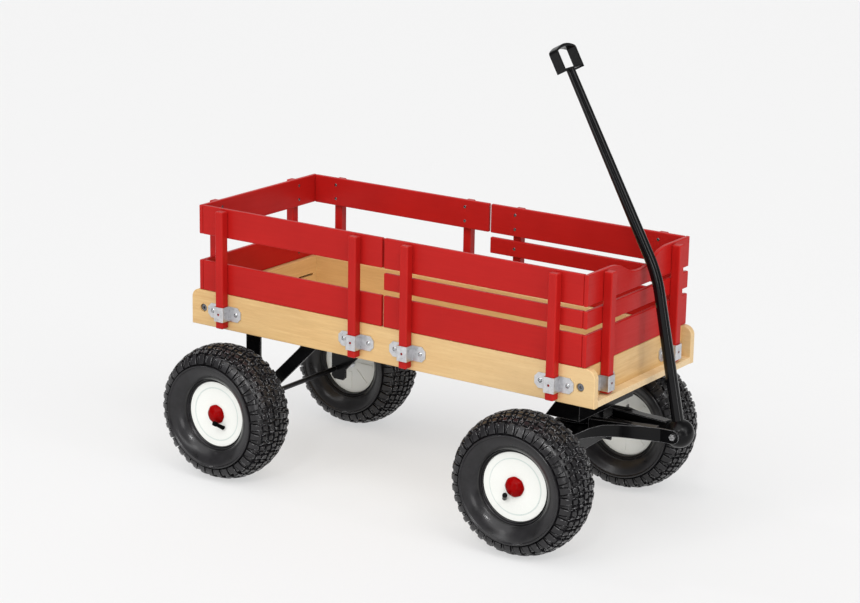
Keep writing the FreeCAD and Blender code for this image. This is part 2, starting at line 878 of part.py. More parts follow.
def make_valve_stem(label):
    """The tyre's valve, which leans out of the rim's face beside the hub."""
    body = new_body(label)
    section = new_sketch(body, "XZ_Plane")
    neck = d.valve_length - d.valve_cap_length
    draw_outline(section, [(0, 0), (d.valve_radius, 0), (d.valve_tip_radius, neck),
                           (d.valve_cap_radius, neck),
                           (d.valve_cap_radius, d.valve_length - d.valve_cap_edge),
                           (d.valve_cap_radius - d.valve_cap_edge, d.valve_length),
                           (0, d.valve_length)])
    add_revolution(body, section)
    return body


def make_wheel(label, x, y, rotation, valve_turn):
    """Tyre, rim, cap and valve of one wheel, drawn about the axle with +Y outboard."""
    for suffix, maker in (("_tyre", make_tyre), ("_rim", make_rim), ("_hub_cap", make_hub_cap)):
        piece = maker(label + suffix)
        place(piece, x, y, d.axle_height, rotation)
        keep(piece)
    stem = make_valve_stem(label + "_valve_stem")
    clock = rotation.multiply(Rotation(Y_AXIS, valve_turn))
    seat = d.rim_face + d.valve_radius * sine(d.valve_lean)
    foot = clock.multVec(Vector(d.valve_offset.value, seat.value, 0))
    lean = clock.multiply(Rotation(X_AXIS, -90)).multiply(Rotation(Y_AXIS, -d.valve_lean.value))
    place(stem, x + foot.x, y + foot.y, d.axle_height + foot.z, lean)
    keep(stem)


def make_wheels():
    offset = d.wheel_offset
    turn = d.steer_rest
    for side, name, facing in ((1, "left", 0), (-1, "right", 180)):
        make_wheel("rear_%s" % name, d.bed_centre_x + d.rear_axle_x, offset * side,
                   Rotation(Z_AXIS, facing), REAR_VALVE_TURN)
        front_x = kingpin_at_x - offset * side * sine(turn)
        front_y = offset * side * cosine(turn)
        make_wheel("front_%s" % name, front_x, front_y,
                   Rotation(Z_AXIS, facing + turn.value), FRONT_VALVE_TURN)


# --- axles ---

def make_axle(label):
    axle = new_cylinder(d.axle_radius, d.axle_end * 2)
    axle.Label = label
    return axle


def make_washers(label):
    """Washers inboard of the wheels and push nuts outboard of them."""
    ring = cut("AxleWasher", new_cylinder(d.washer_radius, d.washer_thick),
               new_cylinder(d.axle_radius, d.washer_thick))
    inner = d.wheel_offset - d.rim_back - d.washer_gap - d.washer_thick
    outer = d.wheel_offset + d.rim_face + d.washer_gap
    copies = []
    for low in (inner, outer, -inner - d.washer_thick, -outer - d.washer_thick):
        copies.append(copy_at(ring, 0, low, 0, ALONG_Y))
    return group(label, copies)


# --- rear undercarriage ---

def make_rear_bracket(label, side):
    """A plate leg with a diagonal brace and a foot that screws under the floor."""
    body = new_body(label)
    top = d.bed_bottom
    brace_foot = d.bracket_leg_front + (top - d.axle_height - d.brace_start)
    low_y = d.rear_bracket_y * side - (d.rear_bracket_thick if side < 0 else 0)
    plate = new_sketch(body, "XZ_Plane", -low_y)
    draw_outline(plate, [(-d.bracket_leg_rear, d.bracket_leg_bottom + d.leg_corner),
                         (d.leg_corner - d.bracket_leg_rear, d.bracket_leg_bottom),
                         (d.bracket_leg_front - d.leg_corner, d.bracket_leg_bottom),
                         (d.bracket_leg_front, d.bracket_leg_bottom + d.leg_corner),
                         (d.bracket_leg_front, d.axle_height + d.brace_start - d.brace_drop),
                         (brace_foot + d.brace_drop, top), (-d.bracket_leg_rear, top)])
    add_pad(body, plate, d.rear_bracket_thick, reverse=True)
    window = new_sketch(body, "XZ_Plane", -low_y)
    sill = d.axle_height + d.brace_start
    draw_outline(window, [(d.bracket_leg_front, sill), (brace_foot - d.foot_thick, top - d.foot_thick),
                          (d.bracket_leg_front, top - d.foot_thick)])
    add_pocket(body, window, d.rear_bracket_thick)
    bore = draw_circles(new_sketch(body, "XZ_Plane", -low_y), [(0, d.axle_height)], d.axle_radius)
    add_pocket(body, bore, d.rear_bracket_thick)
    foot_low = low_y - (d.rear_foot_width - d.rear_bracket_thick if side < 0 else 0)
    foot = draw_rectangle(new_sketch(body, "XY_Plane", top - d.foot_thick), -d.bracket_leg_rear, foot_low,
                          brace_foot + d.brace_drop, foot_low + d.rear_foot_width)
    add_pad(body, foot, d.foot_thick)
    place(body, d.bed_centre_x + d.rear_axle_x, 0, 0)
    keep(body)


def make_rear_axle():
    axle = make_axle("rear_axle")
    place(axle, d.bed_centre_x + d.rear_axle_x, -d.axle_end, d.axle_height, ALONG_Y)
    washers = make_washers("rear_axle_washers")
    place(washers, d.bed_centre_x + d.rear_axle_x, 0, d.axle_height)
    keep(axle, washers)


# --- steering housing and kingpin, fixed under the floor ---

def make_steer_housing():
    """A pressed pan under the floor: a round turret for the kingpin inside a cross bolster."""
    body = new_body("steer_housing")
    wall = d.housing_wall
    top = d.bed_bottom
    half_length = d.housing_flange_length / 2
    half_width = d.housing_flange_width / 2
    flange = draw_rectangle(new_sketch(body, "XY_Plane", top - wall), -half_length, -half_width,
                            half_length, half_width)
    add_pad(body, flange, wall)
    bolster = new_sketch(body, "XZ_Plane", -d.bolster_half_width)
    draw_outline(bolster, [(-d.bolster_rear, d.bolster_bottom), (d.bolster_front, d.bolster_bottom),
                           (d.bolster_front, top - wall),
                           (d.bolster_lean - d.bolster_rear, top - wall)])
    add_pad(body, bolster, d.bolster_half_width * 2)
    turret = draw_circles(new_sketch(body, "XY_Plane", d.housing_bottom), [(0, 0)], d.turret_radius)
    add_pad(body, turret, top - wall - d.housing_bottom)
    inside = new_sketch(body, "XZ_Plane", wall - d.bolster_half_width)
    draw_outline(inside, [(d.lean_wall_run - d.bolster_rear, d.bolster_bottom + wall),
                          (d.bolster_front - wall, d.bolster_bottom + wall), (d.bolster_front - wall, top),
                          (d.bolster_lean + d.lean_wall_run - d.bolster_rear, top)])
    add_pocket(body, inside, (d.bolster_half_width - wall) * 2, reverse=True)
    well = draw_circles(new_sketch(body, "XY_Plane", top), [(0, 0)], d.turret_radius - wall)
    add_pocket(body, well, top - d.housing_bottom - wall)
    bore = draw_circles(new_sketch(body, "XY_Plane", top), [(0, 0)], d.kingpin_radius)
    add_pocket(body, bore, top - d.housing_bottom)
    place(body, kingpin_at_x, 0, 0)
    keep(body)


def make_hex_bolt(label, radius, length, head_radius, head_thick):
    """A hex bolt that points down from the underside of its head, with a nut on its end."""
    head = doc.addObject("Part::Prism", "HexHead")
    head.Polygon = 6
    bind(head, Circumradius=head_radius, Height=head_thick)
    nut = doc.addObject("Part::Prism", "HexNut")
    nut.Polygon = 6
    bind(nut, Circumradius=head_radius, Height=head_thick)
    place(nut, 0, 0, -length)
    shank = new_cylinder(radius, length + head_thick / 2, 0, 0, -length)
    return join(label, [head, nut, shank])


def make_kingpin():
    seat = d.housing_bottom + d.housing_wall
    bolt = make_hex_bolt("kingpin", d.kingpin_radius, seat - d.kingpin_bottom,
                         d.kingpin_head_radius, d.kingpin_head_thick)
    place(bolt, kingpin_at_x, 0, seat)
    keep(bolt)


# --- front truck ---

def make_steer_beam():
    """The turning beam: an upside-down channel with a hanger for the axle at each end."""
    body = new_body("steer_beam")
    wall = d.beam_wall
    half = d.beam_half_width
    block = draw_rectangle(new_sketch(body, "XY_Plane", d.beam_bottom), -d.beam_rear, -half,
                           d.beam_front, half)
    pad = add_pad(body, block, d.beam_top - d.beam_bottom)

    def top_end(edge):
        return along(X_AXIS)(edge) and edge.CenterOfMass.z > d.beam_top.value - NEAR

    add_fillet(body, pad, d.beam_edge_radius, top_end)
    inside = draw_rectangle(new_sketch(body, "XY_Plane", d.beam_bottom), wall - d.beam_rear, wall - half,
                            d.beam_front - wall, half - wall)
    add_pocket(body, inside, d.beam_top - d.beam_bottom - wall, reverse=True)
    boss = draw_circles(new_sketch(body, "XY_Plane", d.beam_top - wall), [(0, 0)], d.beam_boss_radius)
    add_pad(body, boss, d.beam_boss_top - d.beam_top + wall)
    for low in (-half, half - wall):
        hanger = new_sketch(body, "XZ_Plane", -low)
        shoulder = d.beam_bottom + d.hanger_shoulder
        draw_outline(hanger, [(-d.hanger_half, shoulder), (d.hanger_corner - d.hanger_half, d.hanger_bottom),
                              (d.hanger_half - d.hanger_corner, d.hanger_bottom), (d.hanger_half, shoulder)])
        add_pad(body, hanger, wall, reverse=True)
    axle_hole = draw_circles(new_sketch(body, "XZ_Plane", half), [(0, d.axle_height)], d.axle_radius)
    add_pocket(body, axle_hole, half * 2)
    bore = new_sketch(body, "XY_Plane", d.beam_boss_top)
    draw_circles(bore, [(0, 0)], d.kingpin_radius + d.bore_clearance)
    add_pocket(body, bore, d.beam_boss_top - d.beam_bottom)
    on_truck(body)
    keep(body)


def make_front_axle():
    axle = make_axle("front_axle")
    place(axle, kingpin_at_x + d.axle_end * sine(d.steer_rest), -d.axle_end * cosine(d.steer_rest),
          d.axle_height, TRUCK_TURN.multiply(ALONG_Y))
    washers = make_washers("front_axle_washers")
    on_truck(washers, d.axle_height)
    keep(axle, washers)


def make_tongue_arm(label, side):
    """An arm from the handle's pivot: a straight channel, and a plate that flares out to the beam."""
    body = new_body(label)
    sheet = d.arm_sheet
    nose_y = d.arm_nose_y
    front = d.beam_front + d.arm_beam_gap
    height = d.arm_top - d.arm_bottom

    def on_side(points):
        return [(x, size(y) * side) for x, y in points]

    def on_flare(radius, turn):
        return (d.arm_flare_x - radius * sine(turn), d.arm_flare_y - radius * cosine(turn))

    outer_radius = d.arm_flare_radius
    inner_radius = d.arm_flare_radius + sheet
    outer = [(d.arm_nose, nose_y), (d.arm_nose_end, nose_y), (d.arm_bend_x, d.arm_bend_y),
             on_flare(outer_radius, d.arm_flare_start), on_flare(outer_radius, d.arm_flare_end)]
    inner = [on_flare(inner_radius, d.arm_flare_end), on_flare(inner_radius, d.arm_flare_start),
             (d.arm_bend_x - 1, d.arm_bend_y - sheet), (d.arm_nose_end, nose_y - sheet),
             (d.arm_nose, nose_y - sheet)]
    plate_line = draw_outline(new_sketch(body, "XY_Plane", d.arm_bottom), on_side(outer + inner),
                              {3: outer_radius * -side, 5: inner_radius * side})
    plate = add_pad(body, plate_line, height)

    def nose_corner(edge):
        return along(Y_AXIS)(edge) and edge.CenterOfMass.x > d.arm_nose.value - NEAR

    add_fillet(body, plate, d.arm_nose_radius, nose_corner)
    slope = new_sketch(body, "XZ_Plane", bed_half_width)
    draw_outline(slope, [(d.arm_slope_start, d.arm_top + sheet), (d.arm_slope_start, d.arm_top),
                         (d.arm_slope_middle, d.arm_top - d.arm_slope_drop),
                         (d.arm_slope_steep, d.arm_top - d.arm_slope_steep_drop),
                         (front - sheet, d.arm_top - d.arm_slope_end_drop),
                         (front - sheet, d.arm_top + sheet)])
    add_pocket(body, slope, bed_half_width * 2)
    web = new_sketch(body, "XY_Plane", d.arm_bottom)
    draw_outline(web, on_side([(d.arm_nose_end, nose_y), (front, d.arm_web_rear_y),
                               (front, d.arm_web_rear_y - sheet), (d.arm_nose_end, nose_y - sheet)]))
    add_pad(body, web, height)
    rise = (d.arm_web_rear_y - nose_y) / (d.arm_nose_end - front)
    flange_end_y = nose_y + rise * (d.arm_nose_end - d.arm_flange_end) - sheet / 2
    flange_rear_y = d.arm_web_rear_y - sheet / 2
    for bottom in (d.arm_bottom, d.arm_top - d.arm_flange_sheet):
        flange = new_sketch(body, "XY_Plane", bottom)
        draw_outline(flange, on_side([(d.arm_flange_end, flange_end_y), (front, flange_rear_y),
                                      (front, flange_rear_y - d.arm_flange_width),
                                      (d.arm_flange_end, flange_end_y - d.arm_flange_width)]))
        add_pad(body, flange, d.arm_flange_sheet)
    hole = new_sketch(body, "XZ_Plane", nose_y * 2)
    draw_circles(hole, [(d.pivot_reach, d.pivot_height)], d.pivot_bolt_radius)
    add_pocket(body, hole, nose_y * 4)
    on_truck(body)
    keep(body)


def make_pivot_bolt():
    """The bolt through both arms and the ball, with its head on the right and nut on the left."""
    length = d.pivot_bolt_half * 2 + d.pivot_head_thick
    bolt = make_hex_bolt("pivot_bolt", d.pivot_bolt_radius, length, d.pivot_head_radius,
                         d.pivot_head_thick)
    place(bolt, pivot_at_x + d.pivot_bolt_half * sine(d.steer_rest),
          pivot_at_y - d.pivot_bolt_half * cosine(d.steer_rest), d.pivot_height,
          TRUCK_TURN.multiply(Rotation(X_AXIS, 90)))
    keep(bolt)


# --- handle ---

def handle_bar(radius_low, radius_bend, radius_high):
    """The bent, tapering bar about the pivot: a cone, a round bend and a second cone."""
    bend = d.tube_lean_high - d.tube_lean_low
    setback = d.tube_bend_radius * tangent(bend / 2)
    low_sine = sine(d.tube_lean_low)
    low_cosine = cosine(d.tube_lean_low)
    high_sine = sine(d.tube_lean_high)
    high_cosine = cosine(d.tube_lean_high)
    lower = doc.addObject("Part::Cone", "LowerBar")
    bind(lower, Radius1=radius_low, Radius2=radius_bend, Height=d.tube_corner - setback - d.tube_start)
    place(lower, -d.tube_start * low_sine, 0, d.tube_start * low_cosine,
          Rotation(Y_AXIS, -d.tube_lean_low.value))
    bend_start = d.tube_corner - setback
    elbow = doc.addObject("Part::Torus", "Elbow")
    bind(elbow, Radius1=d.tube_bend_radius, Radius2=radius_bend, Angle3=bend)
    flat = Rotation(X_AXIS, 90).multiply(Rotation(Z_AXIS, d.tube_lean_low.value))
    place(elbow, -bend_start * low_sine - d.tube_bend_radius * low_cosine, 0,
          bend_start * low_cosine - d.tube_bend_radius * low_sine, flat)
    upper = doc.addObject("Part::Cone", "UpperBar")
    bind(upper, Radius1=radius_bend, Radius2=radius_high, Height=d.tube_upper_length - setback)
    place(upper, -d.tube_corner * low_sine - setback * high_sine, 0,
          d.tube_corner * low_cosine + setback * high_cosine, Rotation(Y_AXIS, -d.tube_lean_high.value))
    return join("HandleBar", [lower, elbow, upper])


def make_handle_tube():
    wall = d.tube_wall
    outside = handle_bar(d.tube_radius_low, d.tube_radius_bend, d.tube_radius_high)
    inside = handle_bar(d.tube_radius_low - wall, d.tube_radius_bend - wall, d.tube_radius_high - wall)
    tube = cut("handle_tube", outside, inside)
    place(tube, pivot_at_x, pivot_at_y, d.pivot_height, TRUCK_TURN)
    keep(tube)


def make_pivot_ball():
    """The ball that closes the gap between the tongue arms, in two halves round the tube."""
    halves = []
    for side in (-1, 1):
        sphere = doc.addObject("Part::Sphere", "Ball")
        bind(sphere, Radius=d.ball_radius)
        reach = d.ball_radius * 2
        low_y = d.ball_seam if side > 0 else -d.ball_half_width
        slab = new_box(reach, d.ball_half_width - d.ball_seam, reach,
                       -d.ball_radius, low_y, -d.ball_radius)
        half_ball = doc.addObject("Part::Common", "HalfBall")
        half_ball.Base = sphere
        half_ball.Tool = slab
        socket = new_cylinder(d.tube_radius_low + d.socket_clearance, d.ball_radius,
                              -d.tube_start * sine(d.tube_lean_low), 0,
                              d.tube_start * cosine(d.tube_lean_low),
                              Rotation(Y_AXIS, -d.tube_lean_low.value))
        bolt = new_cylinder(d.pivot_bolt_radius + d.bore_clearance, reach, 0, -d.ball_radius, 0, ALONG_Y)
        halves.append(cut("BallHalf", half_ball, join("BallHoles", [socket, bolt])))
    ball = group("pivot_ball", halves)
    place(ball, pivot_at_x, pivot_at_y, d.pivot_height, TRUCK_TURN)
    keep(ball)


def make_grip():
    """The closed hand loop at the top of the tube, drawn with its bottom bar on z = 0."""
    body = new_body("grip")
    half = d.grip_half_width
    side = d.grip_side_height
    wall = d.grip_side_wall
    skirt_in = half - wall
    outline = new_sketch(body, "YZ_Plane", -d.grip_depth / 2)
    draw_outline(outline, [(skirt_in, 0), (skirt_in, -d.grip_skirt), (half, -d.grip_skirt),
                           (half, side), (-half, side), (-half, -d.grip_skirt),
                           (-skirt_in, -d.grip_skirt), (-skirt_in, 0)],
                 {3: d.grip_arc})
    loop = add_pad(body, outline, d.grip_depth)

    def shoulder(edge):
        return along(X_AXIS)(edge) and edge.CenterOfMass.z > side.value - 1

    add_fillet(body, loop, d.grip_corner_radius, shoulder)
    window = new_sketch(body, "YZ_Plane", d.grip_depth / 2)
    inside = d.grip_window_side
    draw_outline(window, [(-inside, d.grip_bottom_bar), (inside, d.grip_bottom_bar),
                          (inside, d.grip_window_height), (-inside, d.grip_window_height)],
                 {2: d.grip_window_arc})
    hollow = add_pocket(body, window, d.grip_depth)

    def rim_edge(edge):
        on_face = abs(edge.CenterOfMass.x) > d.grip_depth.value / 2 - NEAR
        return on_face and edge.CenterOfMass.z > d.grip_bottom_bar.value + NEAR

    add_fillet(body, hollow, d.grip_edge_radius, rim_edge)
    top = d.tube_upper_length
    local_x = -d.tube_corner * sine(d.tube_lean_low) - top * sine(d.tube_lean_high)
    local_z = d.tube_corner * cosine(d.tube_lean_low) + top * cosine(d.tube_lean_high)
    lean = TRUCK_TURN.multiply(Rotation(Y_AXIS, -d.tube_lean_high.value))
    place(body, pivot_at_x + local_x * cosine(d.steer_rest), pivot_at_y + local_x * sine(d.steer_rest),
          d.pivot_height + local_z, lean)
    keep(body)


# --- assembly ---

make_side_board("side_board_left", 1)
make_side_board("side_board_right", -1)
make_end_board("end_board_front", 1)
make_end_board("end_board_rear", -1)
make_floor()
make_corner_bolts()
make_stake_brackets()
make_bracket_screws()
for end_name, end_sign in (("front", 1), ("rear", -1)):
    for side_name, side_sign in (("left", 1), ("right", -1)):
        make_side_panel("%s_%s" % (end_name, side_name), end_sign, side_sign)
    make_end_panel(end_name + "_end", end_sign)
make_wheels()
make_rear_bracket("rear_bracket_left", 1)
make_rear_bracket("rear_bracket_right", -1)
make_rear_axle()
make_steer_housing()
make_kingpin()
make_steer_beam()
make_front_axle()
make_tongue_arm("tongue_arm_left", 1)
make_tongue_arm("tongue_arm_right", -1)
make_pivot_bolt()
make_handle_tube()
make_pivot_ball()
make_grip()
doc.recompute()

# --- checks, then one file for each sub-part ---

for item in doc.Objects:
    if "Invalid" in item.State or "Error" in item.State:
        raise RuntimeError("%s (%s) failed: %s" % (item.Name, item.Label, item.State))
for node in nodes:
    if node.Shape.isNull() or not node.Shape.isValid() or not node.Shape.Solids:
        raise RuntimeError("%s has no valid solid" % node.Label)

whole = FreeCAD.BoundBox()
for node in nodes:
    whole.add(node.Shape.BoundBox)
print("nodes", len(nodes), "box", whole)
os.makedirs("parts", exist_ok=True)
for node in nodes:
    node.Shape.exportStep("parts/%s.step" % node.Label)
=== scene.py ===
import json
import math

import bmesh
import bpy
from mathutils import Matrix, Vector


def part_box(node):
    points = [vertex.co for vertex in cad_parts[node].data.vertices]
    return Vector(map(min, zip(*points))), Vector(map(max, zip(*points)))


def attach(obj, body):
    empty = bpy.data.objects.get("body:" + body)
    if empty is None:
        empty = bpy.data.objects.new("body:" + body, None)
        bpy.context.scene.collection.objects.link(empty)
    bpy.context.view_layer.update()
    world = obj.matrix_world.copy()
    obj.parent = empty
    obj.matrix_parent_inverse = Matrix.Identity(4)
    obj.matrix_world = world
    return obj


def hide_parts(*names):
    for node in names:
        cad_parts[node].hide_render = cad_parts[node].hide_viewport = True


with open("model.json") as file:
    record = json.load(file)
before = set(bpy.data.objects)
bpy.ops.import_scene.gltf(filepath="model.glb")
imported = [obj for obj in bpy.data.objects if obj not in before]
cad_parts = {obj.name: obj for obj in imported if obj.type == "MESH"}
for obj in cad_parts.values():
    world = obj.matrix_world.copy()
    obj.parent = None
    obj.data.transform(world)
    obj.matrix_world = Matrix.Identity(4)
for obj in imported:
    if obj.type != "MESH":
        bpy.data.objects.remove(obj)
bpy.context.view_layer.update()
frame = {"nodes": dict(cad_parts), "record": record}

MM = 0.001
SIDES = ("left", "right")
WHEELS = [end + "_" + side for end in ("front", "rear") for side in SIDES]
PANELS = [end + "_" + part for end in ("front", "rear") for part in ("left", "right", "end")]


# --- node helpers ---

def add(tree, kind, inputs=None, **settings):
    """Add a shader node, set its properties, and link or set its inputs."""
    node = tree.nodes.new("ShaderNode" + kind)
    for name, value in settings.items():
        setattr(node, name, value)
    for name, value in (inputs or {}).items():
        if isinstance(value, bpy.types.NodeSocket):
            tree.links.new(value, node.inputs[name])
        else:
            node.inputs[name].default_value = value
    return node


def start_material(name, **constants):
    """A material with one Principled shader whose constants are set on its own sockets."""
    material = bpy.data.materials.new(name)
    material.use_nodes = True
    tree = material.node_tree
    shader = tree.nodes["Principled BSDF"]
    for key, value in constants.items():
        shader.inputs[key.replace("_", " ")].default_value = value
    return material, tree, shader


def local_coordinates(tree, stretch=(1, 1, 1)):
    """Coordinates fixed to the piece, in metres, stretched along each axis."""
    place = add(tree, "TexCoord").outputs["Object"]
    return add(tree, "Mapping", {"Vector": place, "Scale": stretch}).outputs["Vector"]


def compute(tree, operation, *values):
    """The output of a Math node."""
    return add(tree, "Math", dict(enumerate(values)), operation=operation).outputs[0]


def noise(tree, place, scale, detail=4.0, roughness=0.55, distortion=0.0):
    """A cloudy pattern from 0 to 1, scale in repeats per metre."""
    return add(tree, "TexNoise", {"Vector": place, "Scale": scale, "Detail": detail,
                                  "Roughness": roughness, "Distortion": distortion}).outputs["Fac"]


def spread(tree, value, low, high, from_low=0.3, from_high=0.7):
    """Map a texture's value to a range."""
    return add(tree, "MapRange", {"Value": value, "From Min": from_low, "From Max": from_high,
                                  "To Min": low, "To Max": high}).outputs["Result"]


# where a Mix node keeps its factor, its two colours and its mixed colour
MIX_FACTOR = 0
MIX_FIRST = 6
MIX_SECOND = 7
MIX_RESULT = 2


def mix_colours(tree, factor, first, second):
    """The first colour at factor 0 and the second at factor 1."""
    node = tree.nodes.new("ShaderNodeMix")
    node.data_type = "RGBA"
    for index, value in ((MIX_FACTOR, factor), (MIX_FIRST, first), (MIX_SECOND, second)):
        if isinstance(value, bpy.types.NodeSocket):
            tree.links.new(value, node.inputs[index])
        elif index == MIX_FACTOR:
            node.inputs[index].default_value = value
        else:
            node.inputs[index].default_value = (*value, 1)
    return node.outputs[MIX_RESULT]


def bump(tree, shader, height, strength, distance):
    """Raise a material's surface by a pattern, distance in metres."""
    node = add(tree, "Bump", {"Height": height, "Strength": strength, "Distance": distance})
    tree.links.new(node.outputs["Normal"], shader.inputs["Normal"])


def link(tree, output, shader, name):
    """Feed a pattern to one of the shader's inputs."""
    tree.links.new(output, shader.inputs[name])


def edge_mask(tree, radius):
    """1 on a piece's edges and 0 on its faces."""
    rounded = add(tree, "Bevel", {"Radius": radius}, samples=4).outputs["Normal"]
    facing = add(tree, "NewGeometry").outputs["Normal"]
    both = add(tree, "VectorMath", {0: rounded, 1: facing}, operation="DOT_PRODUCT")
    return spread(tree, both.outputs["Value"], low=1, high=0, from_low=0.80, from_high=0.995)


# --- materials ---

# how far a texture is drawn out: growth blotches, and the grain along a board's length
BLOTCH_STRETCH = (0.35, 0.6, 1)
GRAIN_STRETCH = 0.045
ALONG = {"x": (GRAIN_STRETCH, 1, 1), "y": (1, GRAIN_STRETCH, 1), "z": (1, 1, GRAIN_STRETCH)}
RINGS_IN_FIGURE = 46.0
PLY_LAYER_FREQUENCY = 2600.0
# how dark blotches, open pores and glue lines are beside the dark grain
BLOTCH_SHADE = 0.86
PORE_SHADE = 0.6
GLUE_SHADE = 0.55
FINE_RELIEF = 0.2 * MM
WOOD_RELIEF = 0.3 * MM
# bevel radius of the red paint's worn edges and of the tread's painted glints
WEAR_AND_GLINT_EDGE = 1.4 * MM
# bevel radius of the black steel's painted edge highlights
HIGHLIGHT_EDGE = 1.3 * MM


def wood(name, along, light, dark, pale=None):
    """Varnished birch: fine pores, long grain streaks and broad growth figure along one axis.

    pale is the sapwood colour that the board turns to towards the wagon's front.
    """
    material, tree, shader = start_material(name, Coat_Weight=0.22, Coat_Roughness=0.28)
    long_grain = local_coordinates(tree, ALONG[along])
    whole = local_coordinates(tree)
    figure = noise(tree, long_grain, scale=22, detail=3, roughness=0.5, distortion=0.9)
    ripple = compute(tree, "MULTIPLY", figure, RINGS_IN_FIGURE)
    rings = compute(tree, "SINE", ripple)
    streaks = noise(tree, long_grain, scale=260, detail=5, roughness=0.6, distortion=0.2)
    pores = noise(tree, long_grain, scale=1400, detail=2, roughness=0.5)
    patches = noise(tree, whole, scale=5, detail=2)
    tone = mix_colours(tree, spread(tree, streaks, low=0, high=1), light, dark)
    growth = spread(tree, rings, low=0, high=0.34, from_low=-0.3, from_high=1)
    tone = mix_colours(tree, growth, tone, dark)
    tone = mix_colours(tree, spread(tree, patches, low=0, high=0.35), tone, light)
    wide_grain = local_coordinates(tree, BLOTCH_STRETCH)
    blotches = noise(tree, wide_grain, scale=16, detail=4, roughness=0.6, distortion=0.6)
    stained = spread(tree, blotches, low=0, high=0.38, from_low=0.50, from_high=0.68)
    tone = mix_colours(tree, stained, tone, [BLOTCH_SHADE * c for c in dark])
    if pale:
        forward = add(tree, "SeparateXYZ", {0: whole}).outputs["X"]
        sapwood = spread(tree, forward, low=0, high=0.55, from_low=-0.15, from_high=0.45)
        tone = mix_colours(tree, sapwood, tone, pale)
    open_pores = spread(tree, pores, low=0.0, high=0.35, from_low=0.58, from_high=0.75)
    tone = mix_colours(tree, open_pores, tone, [PORE_SHADE * c for c in dark])
    link(tree, tone, shader, "Base Color")
    link(tree, spread(tree, streaks, low=0.36, high=0.52), shader, "Roughness")
    bump(tree, shader, streaks, strength=0.25, distance=WOOD_RELIEF)
    return material


def ply(name, light, dark):
    """Birch ply: grain on its faces, thin glued layers on its edges."""
    material, tree, shader = start_material(name, Coat_Weight=0.15, Coat_Roughness=0.3)
    long_grain = local_coordinates(tree, ALONG["x"])
    streaks = noise(tree, long_grain, scale=240, detail=5, roughness=0.6, distortion=0.2)
    figure = noise(tree, long_grain, scale=20, detail=3, roughness=0.5, distortion=1.1)
    tone = mix_colours(tree, spread(tree, streaks, low=0, high=1), light, dark)
    growth = spread(tree, figure, low=0, high=0.4, from_low=0.35, from_high=0.7)
    tone = mix_colours(tree, growth, tone, dark)
    height = add(tree, "SeparateXYZ", {0: local_coordinates(tree)}).outputs["Z"]
    layer = compute(tree, "MULTIPLY", height, PLY_LAYER_FREQUENCY)
    layers = compute(tree, "SINE", layer)
    facing = add(tree, "SeparateXYZ", {0: add(tree, "NewGeometry").outputs["Normal"]}).outputs["Z"]
    flat = compute(tree, "ABSOLUTE", facing)
    upright = spread(tree, flat, low=1, high=0, from_low=0.3, from_high=0.6)
    glue = spread(tree, layers, low=0, high=0.5, from_low=0.1, from_high=0.8)
    on_edge = compute(tree, "MULTIPLY", upright, glue)
    tone = mix_colours(tree, on_edge, tone, [GLUE_SHADE * c for c in dark])
    link(tree, tone, shader, "Base Color")
    link(tree, spread(tree, streaks, low=0.38, high=0.55), shader, "Roughness")
    bump(tree, shader, streaks, strength=0.25, distance=WOOD_RELIEF)
    return material


RED_DARK = (0.395, 0.0095, 0.0080)
RED_LIGHT = (0.450, 0.0115, 0.0095)
RED_IN_GRAIN = (0.34, 0.006, 0.0055)
RED_WORN = (0.66, 0.055, 0.04)


def red_paint(name, along):
    """Semi-gloss red over wood: the grain prints through a little, and edges are worn lighter."""
    material, tree, shader = start_material(name, Specular_IOR_Level=0.13, Coat_Weight=0.02,
                                            Coat_Roughness=0.25)
    long_grain = local_coordinates(tree, ALONG[along])
    whole = local_coordinates(tree)
    streaks = noise(tree, long_grain, scale=320, detail=5, roughness=0.6)
    patches = noise(tree, whole, scale=9, detail=3)
    orange_peel = noise(tree, whole, scale=900, detail=2)
    paint = mix_colours(tree, spread(tree, patches, low=0, high=1), RED_DARK, RED_LIGHT)
    paint = mix_colours(tree, spread(tree, streaks, low=0.0, high=0.35), paint, RED_IN_GRAIN)
    patchy = spread(tree, streaks, low=0.15, high=0.75)
    worn = compute(tree, "MULTIPLY", edge_mask(tree, WEAR_AND_GLINT_EDGE), patchy)
    paint = mix_colours(tree, worn, paint, RED_WORN)
    link(tree, paint, shader, "Base Color")
    link(tree, spread(tree, streaks, low=0.30, high=0.44), shader, "Roughness")
    height = mix_colours(tree, 0.35, streaks, orange_peel)
    bump(tree, shader, height, strength=0.22, distance=WOOD_RELIEF)
    return material


def metal(name, colour, rough, mottle, scale, relief=0.08):
    """Plated or oxidised steel with a mottled finish."""
    material, tree, shader = start_material(name, Metallic=1.0)
    whole = local_coordinates(tree)
    clouds = noise(tree, whole, scale=scale, detail=4, roughness=0.6, distortion=0.4)
    specks = noise(tree, whole, scale=scale * 9, detail=3)
    tone = mix_colours(tree, spread(tree, clouds, low=0, high=1), [c * (1 - mottle) for c in colour],
                       [min(1, c * (1 + mottle)) for c in colour])
    link(tree, tone, shader, "Base Color")
    link(tree, spread(tree, clouds, low=rough - 0.08, high=rough + 0.08), shader, "Roughness")
    bump(tree, shader, specks, strength=relief, distance=FINE_RELIEF)
    return material


